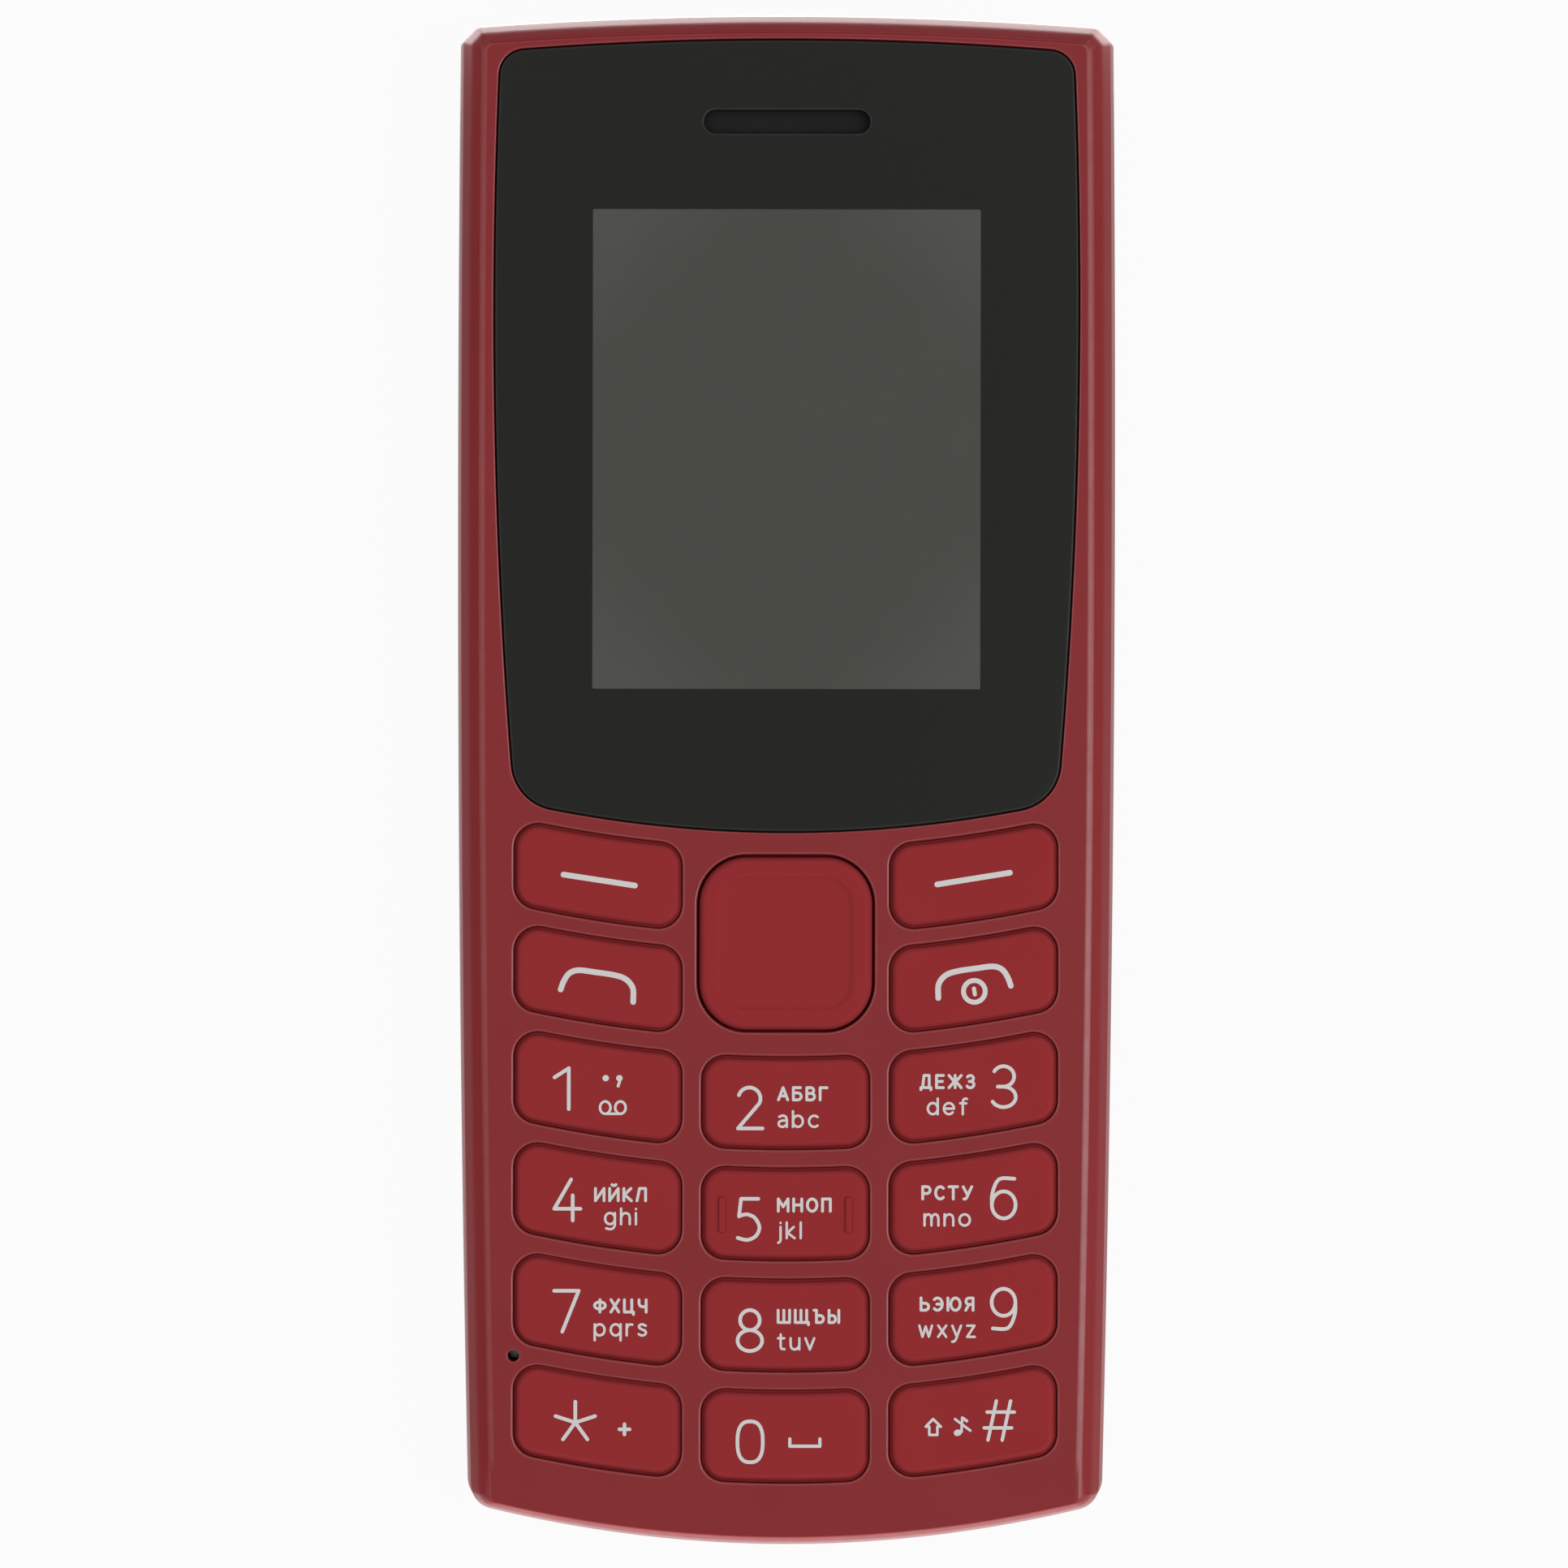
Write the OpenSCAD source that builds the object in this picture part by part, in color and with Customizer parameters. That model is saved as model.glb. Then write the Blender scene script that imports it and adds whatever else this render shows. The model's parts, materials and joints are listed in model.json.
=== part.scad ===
// Bar phone with a number keypad, lying on its back with the front face up.
// The origin is under the middle of the body: +Y is the phone's top, +Z its front.

/* [Body] */
// Length over the top and bottom edges
body_l = 115.1; // [112:0.1:125]
// Width at the widest place
body_w = 49.6; // [48.5:0.1:56]
// How far the widest place lies below the top edge
widest_down = 35.5; // [25:0.5:60]
// Radius of the two long sides
side_r = 3300; // [2000:50:6000]
// Radius of the top edge
top_r = 309; // [220:1:600]
// Radius of the bottom edge
bottom_r = 92; // [80:1:200]
// Corner radius at the top
top_corner = 1.8; // [1:0.1:3]
// Corner radius at the bottom
bottom_corner = 2.4; // [1:0.1:4]
// Height of the seam between the front housing and the rear cover above the board's back
seam_rise = 0.2; // [0.1:0.05:0.4]
// Gap of that seam
seam_gap = 0.1; // [0.05:0.05:0.3]

/* [Front housing] */
// Thickness of the front wall
face_t = 1.2; // [1:0.1:2]
// Room between the board and the front wall
key_room = 2.8; // [2.7:0.1:4]
// How far the flat face lies in from the sides
edge_side = 2; // [1.6:0.1:2.4]
// How far the flat face lies in from the top
edge_top = 1.95; // [1.5:0.05:2.3]
// How far the flat face lies in from the bottom
edge_bottom = 1.3; // [1:0.05:2.3]
// Height of the sloped edge around the face
edge_h = 1.6; // [1.5:0.1:3]
// Size of the rounding where the slope meets the face
edge_round = 0.3; // [0.1:0.05:0.5]
// Draft of the skirt below the slope
skirt_draft = 0.4; // [0.2:0.05:0.7]
// Draft of the skirt at the seam
seam_draft = 0.2; // [0.1:0.05:0.3]
// How far the hollow lies in from the outline
hollow_in = 1.9; // [1.6:0.05:2.1]

/* [Rear cover] */
// Wall of the rear cover
cover_t = 1.1; // [0.9:0.1:1.6]
// Width of the rounding along the back edges
back_round = 3.6; // [2.5:0.1:5]
// Height of that rounding
back_round_h = 5; // [3:0.1:5.5]
// Number of speaker slots
grille_slots = 5; // [3:1:6]
// Length of a speaker slot
grille_l = 10; // [6:0.5:13]
// Width of a speaker slot
grille_w = 1; // [0.6:0.1:1.4]
// Distance between two speaker slots
grille_pitch = 2.2; // [2:0.1:2.6]
// Distance between the snap tabs along a side
tab_pitch = 36; // [30:1:38]
// Length of a snap tab
tab_l = 5; // [3:0.5:8]
// Thickness of a snap tab
tab_t = 0.65; // [0.5:0.05:0.7]
// How far a snap tab reaches past the seam
tab_rise = 1; // [0.6:0.1:1.4]

/* [Rear housing] */
// Thickness of the battery bay's ceiling
bay_t = 0.8; // [0.6:0.1:1.2]
// Wall around the battery bay
bay_wall = 1; // [0.8:0.1:1.4]
// How far the plate lies in from the outline
plate_in = 1.5; // [1.4:0.05:1.7]
// Thickness of the rim that enters the front housing
rim_t = 0.8; // [0.6:0.05:0.9]
// Room for parts between the plate and the board
parts_h = 1.2; // [1.1:0.1:1.8]
// Length of the antenna carrier
carrier_l = 14.5; // [11:0.5:15]
// Width of the antenna carrier
carrier_w = 38; // [30:0.5:39]

/* [Screws] */
// Screw shank radius
screw_r = 0.7; // [0.6:0.05:0.8]
// Screw head radius
screw_head_r = 1.3; // [1.1:0.05:1.4]
// Screw head height
screw_head_h = 0.7; // [0.5:0.05:0.9]
// Screw length under the head
screw_l = 4.2; // [3.5:0.1:4.5]
// Outer radius of a screw boss
boss_r = 1.3; // [1.2:0.05:1.4]
// Distance of the upper and middle screws from the sides
screw_in = 3.5; // [3.4:0.05:3.6]
// Distance of the upper screws from the top
screw_down = 11.5; // [10.5:0.1:13]
// Distance of the middle screws above the battery bay
screw_mid_up = 1.6; // [1.5:0.1:4]
// Distance of the lower screws from the middle
screw_low_x = 17.2; // [16.5:0.1:17.5]
// Distance of the lower screws from the bottom edge
screw_low_up = 3.1; // [3:0.05:3.2]

/* [Display window] */
// Width of the housing beside the window
bezel_w = 3.1; // [2.8:0.1:4]
// Distance of the window from the top edge
window_down = 2.5; // [2.3:0.1:4]
// Distance of the window's widest place from the top edge
window_widest_down = 22.5; // [18:0.5:35]
// Radius of the window's sides
window_side_r = 430; // [350:10:1500]
// Radius of the window's top edge
window_top_r = 254; // [200:1:600]
// Corner radius at the window's top
window_top_corner = 1.8; // [1:0.1:3]
// Corner radius at the window's bottom
window_bottom_corner = 3.5; // [2:0.1:4]
// Housing between the window and the keypad
window_web = 1.35; // [1.3:0.05:3]
// Thickness of the window
window_t = 0.95; // [0.7:0.05:1]
// Gap around the window
window_gap = 0.2; // [0.1:0.05:0.3]
// Thickness of the tape under the window
tape_t = 0.1; // [0.05:0.05:0.2]
// Thickness of the deck that carries the window
deck_t = 0.5; // [0.4:0.05:0.6]
// How far the window lies below the face
window_sink = 0.05; // [0:0.05:0.1]

/* [Display] */
// Width of the visible display
view_w = 28.95; // [26:0.05:30]
// Height of the visible display
view_h = 35.8; // [33:0.05:37]
// Distance of the visible display below the window's top
view_down = 12.55; // [12:0.05:13.5]
// Width of the display frame beside the visible display
lcd_border = 2.7; // [2.4:0.1:3]
// Thickness of the display glass
lcd_glass_t = 0.95; // [0.8:0.05:1.1]
// Wall of the display frame around the glass
lcd_wall = 1.2; // [0.8:0.1:1.4]
// Width of the display flex
flex_w = 12; // [8:0.5:16]
// Length of the display flex
flex_l = 2.6; // [2:0.1:2.8]
// Thickness of the display flex
flex_t = 0.2; // [0.1:0.05:0.3]

/* [Keypad] */
// Distance of the key block from the sides
keypad_in = 4.5; // [4.2:0.1:6]
// Distance of the key block from the bottom edge
keypad_up = 4.95; // [4.9:0.05:7]
// Housing between two columns
column_web = 1.45; // [1.4:0.05:2.2]
// Height of a number key's opening
number_h = 6.95; // [6:0.05:7.1]
// Housing between two number rows
number_web = 1.35; // [1.3:0.01:2]
// Height of a soft key's or call key's opening
soft_h = 6.5; // [5.8:0.05:6.6]
// Housing between the soft row and the call row
soft_web = 1.2; // [1.1:0.05:1.8]
// Radius that the rows follow
row_r = 91; // [80:1:200]
// Corner radius of a key opening
key_corner = 1.8; // [1:0.1:2.5]
// Gap around a key
key_gap = 0.2; // [0.1:0.05:0.3]
// How far a key stands above the face
key_rise = 0.4; // [0.2:0.05:0.6]
// Rounding along a key's upper edge
key_round = 0.4; // [0.2:0.05:0.6]
// Travel of a key
key_travel = 0.3; // [0.2:0.05:0.35]
// Thickness of a key's flange
flange_t = 0.5; // [0.3:0.05:0.6]
// How far the flange reaches under the housing
flange_reach = 0.3; // [0.2:0.05:0.35]
// Gap between the flange and the housing
flange_gap = 0.05; // [0.03:0.01:0.1]
// Radius of a key's plunger
plunger_r = 1.2; // [0.8:0.1:1.5]
// Length of the two ridges on the 5 key
ridge_l = 2.7; // [2:0.1:3]
// Width of these ridges
ridge_w = 0.5; // [0.3:0.05:0.7]
// Height of these ridges
ridge_h = 0.1; // [0.05:0.05:0.2]
// Distance between these ridges
ridge_pitch = 9.45; // [8:0.05:10]

/* [Navigation key] */
// Width and height of the navigation opening
nav_size = 13.25; // [12.6:0.05:13.4]
// Corner radius of the navigation opening
nav_corner = 3.7; // [2.5:0.1:4.5]
// How far the navigation key stands above the face
nav_rise = 0.5; // [0.3:0.05:0.6]
// Width of the recessed pad
nav_pad_w = 10; // [8:0.1:10.5]
// Depth of the recessed pad
nav_pad_depth = 0.15; // [0.05:0.05:0.25]
// Room for tilting above the navigation flange
nav_room = 0.45; // [0.42:0.01:0.5]
// Thickness of the navigation flange
nav_flange_t = 0.45; // [0.4:0.05:0.5]
// Width of the navigation plate
nav_plate_w = 8; // [6:0.1:8.2]
// Thickness of the navigation plate
nav_plate_t = 0.4; // [0.3:0.05:0.4]
// Room for tilting under the key and under the plate
tilt_room = 0.3; // [0.28:0.01:0.32]
// Radius of the pivot ridges
pivot_r = 0.4; // [0.35:0.01:0.45]
// Running gap at the pivot ridges
pivot_gap = 0.02; // [0.01:0.01:0.03]
// Radius of the four side posts
post_r = 0.5; // [0.3:0.05:0.5]
// Distance of the side posts from the middle
post_out = 4.7; // [4.6:0.05:5]

/* [Keymat and domes] */
// Thickness of the keymat
keymat_t = 0.4; // [0.3:0.05:0.5]
// How far the keymat reaches past the key block
keymat_reach = 0.4; // [0.3:0.05:0.5]
// Thickness of the dome sheet
film_t = 0.1; // [0.05:0.05:0.15]
// Radius of a dome
dome_r = 2.1; // [1.6:0.1:2.4]
// Radius of a dome's flat crown
dome_crown_r = 1.4; // [1:0.1:1.5]
// Height of a dome
dome_h = 0.22; // [0.15:0.01:0.25]
// Radius of a keymat foot
foot_r = 0.45; // [0.3:0.05:0.5]
// Length of a keypad light
light_l = 1.6; // [1.2:0.1:2]
// Width of a keypad light
light_w = 0.8; // [0.5:0.1:1]
// Height of a keypad light
light_h = 0.45; // [0.3:0.05:0.6]

/* [Board] */
// Thickness of the main board
board_t = 1; // [0.8:0.1:1.2]
// How far the board lies in from the outline
board_in = 3.1; // [3:0.05:3.3]
// Width of the shield can
shield_w = 30; // [24:0.5:32]
// Length of the shield can
shield_l = 22; // [16:0.5:24]
// Sheet thickness of the shield can and the card holders
sheet_t = 0.2; // [0.15:0.05:0.25]
// Width of a card holder
sim_w = 15.6; // [14:0.1:16]
// Length of a card holder
sim_l = 17; // [15:0.1:18]
// Distance of the card holders from the battery's lower end
sim_up = 4; // [2:0.5:8]
// Thickness of a card slot
sim_slot = 0.7; // [0.6:0.05:0.75]

/* [Battery] */
// Width of the battery
battery_w = 34; // [30:0.5:35]
// Length of the battery
battery_l = 53; // [48:0.5:54]
// Thickness of the battery
battery_h = 5.6; // [5:0.1:6.5]
// Distance of the battery from the bottom edge
battery_up = 23.5; // [23:0.5:25]
// Corner radius of the battery
battery_corner = 2; // [1:0.1:3]
// Gap around the battery
battery_gap = 0.2; // [0.1:0.05:0.3]
// Distance between the battery contacts
contact_pitch = 3; // [2.6:0.1:3.4]
// Width of a battery contact
contact_w = 1.8; // [1.4:0.1:2]
// Height of a battery contact
contact_h = 2.6; // [2:0.1:3]
// Depth of a battery contact
contact_t = 0.2; // [0.1:0.05:0.3]
// Distance of the contacts from the middle
contact_x = 8; // [6:0.5:10]
// Wall of the battery connector beside its contacts
connector_wall = 1; // [0.6:0.1:1.4]
// Depth of the battery connector
connector_l = 3; // [2.4:0.1:3.2]
// Distance between the connector and the battery
connector_gap = 0.9; // [0.8:0.05:1]

/* [Sound] */
// Width of the earpiece slot
slot_w = 12.4; // [10:0.1:13]
// Height of the earpiece slot
slot_h = 1.7; // [1.2:0.05:2]
// Distance of the earpiece slot from the window's top
slot_down = 6; // [5.5:0.1:6.2]
// Width of the earpiece
earpiece_w = 15; // [13.5:0.5:18]
// Height of the earpiece
earpiece_h = 6; // [5:0.1:6.2]
// Thickness of the earpiece
earpiece_t = 1.9; // [1.5:0.1:2]
// Radius of the loudspeaker
speaker_r = 9; // [8:0.1:9.4]
// Thickness of the loudspeaker
speaker_t = 3.6; // [3:0.1:4]
// Radius of the loudspeaker's diaphragm
diaphragm_r = 6.5; // [5:0.1:7]
// Width of the loudspeaker gasket
gasket_w = 2.4; // [1.5:0.1:3]
// Wall of the loudspeaker and motor cups
cup_t = 0.8; // [0.6:0.05:1]
// Thickness of the loudspeaker gasket
gasket_t = 1; // [0.8:0.1:1]
// Distance of the microphone hole from the left side
mic_in = 4.5; // [4.4:0.05:4.6]
// How far the microphone hole lies below the middle between two rows
mic_drop = 0.4; // [0.3:0.05:0.5]
// Radius of the microphone hole
mic_r = 0.43; // [0.3:0.01:0.5]
// Wall of the microphone boot
mic_boot_t = 0.35; // [0.25:0.05:0.4]
// Width of the microphone
mic_w = 1.7; // [1.5:0.1:1.8]
// Length of the microphone
mic_l = 2.8; // [2.4:0.1:3]
// Height of the microphone
mic_h = 0.9; // [0.7:0.05:1]
// Radius of the vibration motor
motor_r = 4; // [3.5:0.1:4.2]
// Thickness of the vibration motor
motor_t = 2.6; // [2.2:0.1:3]
// Distance of the vibration motor from the middle
motor_x = 12.4; // [12:0.1:12.8]

/* [Sockets] */
// Radius of the headset jack's bore
jack_r = 1.8; // [1.75:0.01:1.85]
// Depth of the headset jack's bore
jack_depth = 13; // [12:0.1:14]
// Width of the headset jack
jack_w = 6; // [5.4:0.1:6.4]
// Height of the headset jack
jack_h = 5; // [4.6:0.1:5.2]
// Wall behind the bore
jack_end = 1; // [0.8:0.1:1.5]
// Distance of the headset jack from the middle
jack_x = 12.1; // [12:0.1:13]
// Clearance of the openings around the sockets
socket_gap = 0.3; // [0.2:0.05:0.4]
// Width of the micro-USB socket
usb_w = 7.5; // [7.4:0.05:7.7]
// Height of the micro-USB socket
usb_h = 2.55; // [2.4:0.05:2.6]
// Length of the micro-USB socket
usb_l = 5.6; // [5:0.1:5.8]
// Wall of the micro-USB socket
usb_wall = 0.3; // [0.25:0.05:0.35]
// Slope of the socket's lower corners
usb_slope = 1; // [0.6:0.1:1.2]
// How far the socket's mouth lies in from the bottom edge
usb_in = 0.5; // [0.3:0.05:0.9]
// Width of the socket's tongue
tongue_w = 4.6; // [4:0.1:5]
// Length of the socket's tongue
tongue_l = 3.6; // [3:0.1:4]
// Thickness of the socket's tongue
tongue_t = 0.6; // [0.5:0.05:0.7]
// Radius of the torch lens
torch_r = 1.4; // [1.2:0.05:1.45]
// Length of the torch lens
torch_l = 2.4; // [2:0.1:2.8]
// Width and length of the torch LED
led_w = 2.8; // [2.4:0.1:3]

/* [Antenna] */
// Width of an antenna arm
arm_w = 2.4; // [1.8:0.1:3]
// Thickness of the antenna sheet
antenna_t = 0.2; // [0.15:0.05:0.3]
// Distance of the antenna from the carrier's edge
antenna_in = 1; // [0.8:0.1:1.5]

/* [Hidden] */
$fn = 48;
// Overshoot of a cut past the face it opens
over = 0.5;
// Rest gap between two pieces that lie on each other
rest_gap = 0.02;
// Slide clearance between nested walls
slip = 0.2;
// Points along the arcs and the corners of an outline
arc_steps = 10;
corner_steps = 4;
// Smallest corner radius of an inset outline
least_corner = 0.4;
// Gap left over a dome when its key is pressed
dome_gap = 0.1;
// Insets and drops of a key's rounded edge, as shares of the rounding
edge_insets = [0, 0, 0.25, 1];
edge_drops = [1, 1, 0.35, 0];

// Heights, from the back to the front
battery_z = cover_t + battery_gap;
bay_z = battery_z + battery_h + battery_gap / 2;
board_z = bay_z + bay_t + parts_h;
board_top = board_z + board_t;
ceiling_z = board_top + key_room;
face_z = ceiling_z + face_t;
seam_z = board_z + seam_rise;
deck_top = face_z - window_sink - window_t - tape_t;
deck_z = deck_top - deck_t;
window_z = deck_top + tape_t;
flange_z = ceiling_z - flange_gap - flange_t;
dome_top = board_top + film_t + dome_h;
plunger_z = dome_top + key_travel + dome_gap;
post_z = plunger_z + dome_gap;
keymat_z = flange_z - key_travel - slip - keymat_t;
nav_flange_z = ceiling_z - nav_room - nav_flange_t;
nav_plate_z = nav_flange_z - tilt_room - nav_plate_t;
bay_wall_z = battery_z + slip;
rim_top = board_top - slip;
rim_in = hollow_in + slip;

// Outline arcs: half width, height of the widest place, side radius, top, top radius,
// bottom, bottom radius, corner radii at the top and the bottom
body_arcs = [body_w / 2, body_l / 2 - widest_down, side_r, body_l / 2, top_r,
    -body_l / 2, bottom_r, top_corner, bottom_corner];

// Keypad grid: rows 0 and 1 are the soft row and the call row, rows 2 to 5 the numbers
key_w = (body_w - 2 * keypad_in - 2 * column_web) / 3;
column_pitch = key_w + column_web;
block_bottom = -body_l / 2 + keypad_up;
number_pitch = number_h + number_web;
call_y = block_bottom + 4 * number_pitch + soft_h / 2;
soft_y = call_y + soft_h + soft_web;
block_top = soft_y + soft_h / 2;
nav_y = (block_top + call_y - soft_h / 2) / 2;

window_bottom = block_top + window_web;
window_top = body_l / 2 - window_down;
window_arcs = [body_w / 2 - bezel_w, body_l / 2 - window_widest_down, window_side_r,
    window_top, window_top_r, window_bottom, row_r,
    window_top_corner, window_bottom_corner];
view_y = window_top - view_down - view_h / 2;
slot_y = window_top - slot_down;
lcd_w = view_w + 2 * lcd_border;
lcd_l = view_h + 2 * lcd_border;

battery_y = -body_l / 2 + battery_up + battery_l / 2;
battery_top = battery_y + battery_l / 2;
bay_top = battery_top + battery_gap + bay_wall;
screw_places = [for (s = [-1, 1]) each [
    [s * (body_w / 2 - screw_in), body_l / 2 - screw_down],
    [s * (body_w / 2 - screw_in), bay_top + screw_mid_up],
    [s * screw_low_x, arc_bottom(body_arcs, screw_low_x) + screw_low_up]]];

connector_y = battery_top + connector_gap;
connector_w = 2 * (contact_pitch + connector_wall) + contact_w;
contact_z = battery_z + battery_h / 2;
speaker_y = connector_y + connector_l + speaker_r + cup_t + 2 * slip;
speaker_z = bay_z - rest_gap - speaker_t;
motor_y = body_l / 2 - screw_down;
jack_z = board_z - jack_h / 2;
jack_mouth = arc_top(body_arcs, jack_x) - cover_t - socket_gap;
torch_z = bay_z;
torch_mouth = body_l / 2 - cover_t - socket_gap;
usb_mouth = -body_l / 2 + usb_in;
usb_z = board_z - usb_h;
mic_x = -body_w / 2 + mic_in;
mic_y = (row_y(4) + row_y(5)) / 2 + rise(mic_x) - mic_drop;
carrier_top = battery_y - battery_l / 2 - battery_gap - bay_wall;
carrier_z = bay_wall_z + antenna_t + slip;
tab_y = body_l / 2 - widest_down - tab_pitch / 2;

// Keys by name, column and row
number_keys = ["key_1", "key_2", "key_3", "key_4", "key_5", "key_6",
    "key_7", "key_8", "key_9", "key_star", "key_0", "key_hash"];
keys = concat(
    [["key_soft_left", -1, 0], ["key_soft_right", 1, 0], ["key_call", -1, 1], ["key_end", 1, 1]],
    [for (k = [0:len(number_keys) - 1]) [number_keys[k], k % 3 - 1, 2 + floor(k / 3)]]);

housing_red = [0.52, 0.2, 0.21];
key_red = [0.56, 0.18, 0.19];
smoke = [0.16, 0.16, 0.15];
inner_grey = [0.3, 0.3, 0.32];
board_green = [0.1, 0.32, 0.2];
steel = [0.72, 0.72, 0.72];
gold = [0.8, 0.65, 0.3];
black = [0.08, 0.08, 0.08];

function blend(a, b, t) = a + (b - a) * t;
function unit(v) = v / norm(v);

// How far a row has risen at a distance from the middle
function rise(x) = x * x / (2 * row_r);

// Half width, top and bottom of an outline of four arcs
function arc_half(arcs, y) = arcs[0] - pow(y - arcs[1], 2) / (2 * arcs[2]);
function arc_top(arcs, x) = arcs[3] - x * x / (2 * arcs[4]);
function arc_bottom(arcs, x) = arcs[5] + x * x / (2 * arcs[6]);

// Points of one corner: an arc that touches both neighbouring edges
function corner(before, at, after, r) =
    let (a = unit(before - at), b = unit(after - at),
        half = acos(a * b) / 2,
        middle = at + unit(a + b) * r / sin(half),
        start = at + a * r / tan(half) - middle,
        sweep = (180 - 2 * half) * (a[0] * b[1] - a[1] * b[0] < 0 ? 1 : -1))
    [for (k = [0:corner_steps])
        let (turn = sweep * k / corner_steps)
        middle + [start[0] * cos(turn) - start[1] * sin(turn), start[0] * sin(turn) + start[1] * cos(turn)]];

// Rounds the points of a path that have a radius; each entry is [x, y, radius]
function rounded(path) = let (n = len(path))
    [for (k = [0:n - 1])
        let (at = [path[k][0], path[k][1]],
            last = path[(k + n - 1) % n], next = path[(k + 1) % n])
        each path[k][2] == 0 ? [at]
            : corner([last[0], last[1]], at, [next[0], next[1]], path[k][2])];

// Outline of four arcs, moved in at the sides, the top and the bottom
function outline(arcs, side, top, bottom) =
    let (xt = arc_half(arcs, arc_top(arcs, arcs[0])) - side, yt = arc_top(arcs, xt) - top,
        xb = arc_half(arcs, arc_bottom(arcs, arcs[0])) - side, yb = arc_bottom(arcs, xb) + bottom,
        rt = max(least_corner, arcs[7] - side), rb = max(least_corner, arcs[8] - side),
        inner = [for (k = [1:arc_steps - 1]) k / arc_steps])
    rounded(concat(
        [[xt, yt, rt]],
        [for (t = inner) let (x = blend(xt, -xt, t)) [x, arc_top(arcs, x) - top, 0]],
        [[-xt, yt, rt]],
        [for (t = inner) let (y = blend(yt, yb, t)) [side - arc_half(arcs, y), y, 0]],
        [[-xb, yb, rb]],
        [for (t = inner) let (x = blend(-xb, xb, t)) [x, arc_bottom(arcs, x) + bottom, 0]],
        [[xb, yb, rb]],
        [for (t = inner) let (y = blend(yb, yt, t)) [arc_half(arcs, y) - side, y, 0]]));

function inset(arcs, d) = outline(arcs, d, d, d);

// Middle height, opening height and outline of a key
function row_y(row) = row == 0 ? soft_y : row == 1 ? call_y
    : block_bottom + number_h / 2 + (5 - row) * number_pitch;
function row_h(row) = row < 2 ? soft_h : number_h;
function key_middle(column, row) =
    [column * column_pitch, row_y(row) + rise(column * column_pitch)];
function band(x1, x2, low, high, r) = rounded(concat(
    [[x2, high + rise(x2), r]],
    [for (t = [0.25:0.25:0.75]) let (x = blend(x2, x1, t)) [x, high + rise(x), 0]],
    [[x1, high + rise(x1), r], [x1, low + rise(x1), r]],
    [for (t = [0.25:0.25:0.75]) let (x = blend(x1, x2, t)) [x, low + rise(x), 0]],
    [[x2, low + rise(x2), r]]));
function key_outline(column, row, d) =
    let (x = column * column_pitch, y = row_y(row), w = key_w / 2 - d, h = row_h(row) / 2 - d)
    band(x - w, x + w, y - h, y + h, max(least_corner, key_corner - d));
function nav_outline(d) = let (h = nav_size / 2 - d, r = max(least_corner, nav_corner - d))
    rounded([[h, nav_y + h, r], [-h, nav_y + h, r], [-h, nav_y - h, r], [h, nav_y - h, r]]);
function block_outline(d) = band(-body_w / 2 + keypad_in - d, body_w / 2 - keypad_in + d,
    block_bottom - d, block_top + d, key_corner);
function box_outline(w, l, r) =
    rounded([[w / 2, l / 2, r], [-w / 2, l / 2, r], [-w / 2, -l / 2, r], [w / 2, -l / 2, r]]);

// Heights of a key cap's outlines, from its root to its rounded top
function cap_heights(root, top) =
    [for (k = [0:3]) k == 0 ? root : top - edge_drops[k] * key_round];

// Solid through a stack of outlines with equal point counts
module loft(outlines, heights) {
    n = len(outlines[0]);
    last = len(outlines) - 1;
    points = [for (k = [0:last]) for (p = outlines[k]) [p[0], p[1], heights[k]]];
    sides = [for (k = [0:last - 1]) for (j = [0:n - 1])
        let (a = k * n + j, b = k * n + (j + 1) % n)
        each [[a, a + n, b + n], [a, b + n, b]]];
    polyhedron(points, concat(sides, [[for (j = [0:n - 1]) j], [for (j = [n - 1:-1:0]) last * n + j]]));
}

// Upright slab between two heights
module slab(points, from, to) {
    translate([0, 0, from]) linear_extrude(to - from) polygon(points);
}

// Box by its middle in X, its start in Y and its start in Z
module block(x, y, z, w, l, h) {
    translate([x - w / 2, y, z]) cube([w, l, h]);
}

// Upright slot with round ends, by its middle
module slot(x, y, z, w, h, depth) {
    straight = w / 2 - h / 2;
    block(x, y - h / 2, z, 2 * straight, h, depth);
    for (s = [-1, 1]) translate([x + s * straight, y, z]) cylinder(r = h / 2, h = depth);
}

module at_screws() {
    for (p = screw_places) translate([p[0], p[1], 0]) children();
}

// Cylinder along Y from a start to an end
module lying(x, from, to, z, r) {
    translate([x, from, z]) rotate([-90, 0, 0]) cylinder(r = r, h = to - from);
}

// Snap tabs of the rear cover, grown by a clearance for their pockets:
// a foot on the cover's wall and a lip that enters the front housing
module snap_tabs(grow) {
    deep = hollow_in + slip + tab_t + grow;
    foot_z = bay_z - bay_t - grow;
    lip_w = tab_t + 2 * grow;
    foot_w = deep - cover_t / 2;
    for (s = [-1, 1]) for (k = [-1:1]) {
        y = tab_y + k * tab_pitch;
        inner_x = arc_half(body_arcs, y) - deep;
        block(s * (inner_x + foot_w / 2), y - tab_l / 2 - grow, foot_z, foot_w, tab_l + 2 * grow,
            seam_z - foot_z);
        block(s * (inner_x + lip_w / 2), y - tab_l / 2 - grow, foot_z, lip_w, tab_l + 2 * grow,
            seam_z + tab_rise + grow - foot_z);
    }
}

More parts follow.
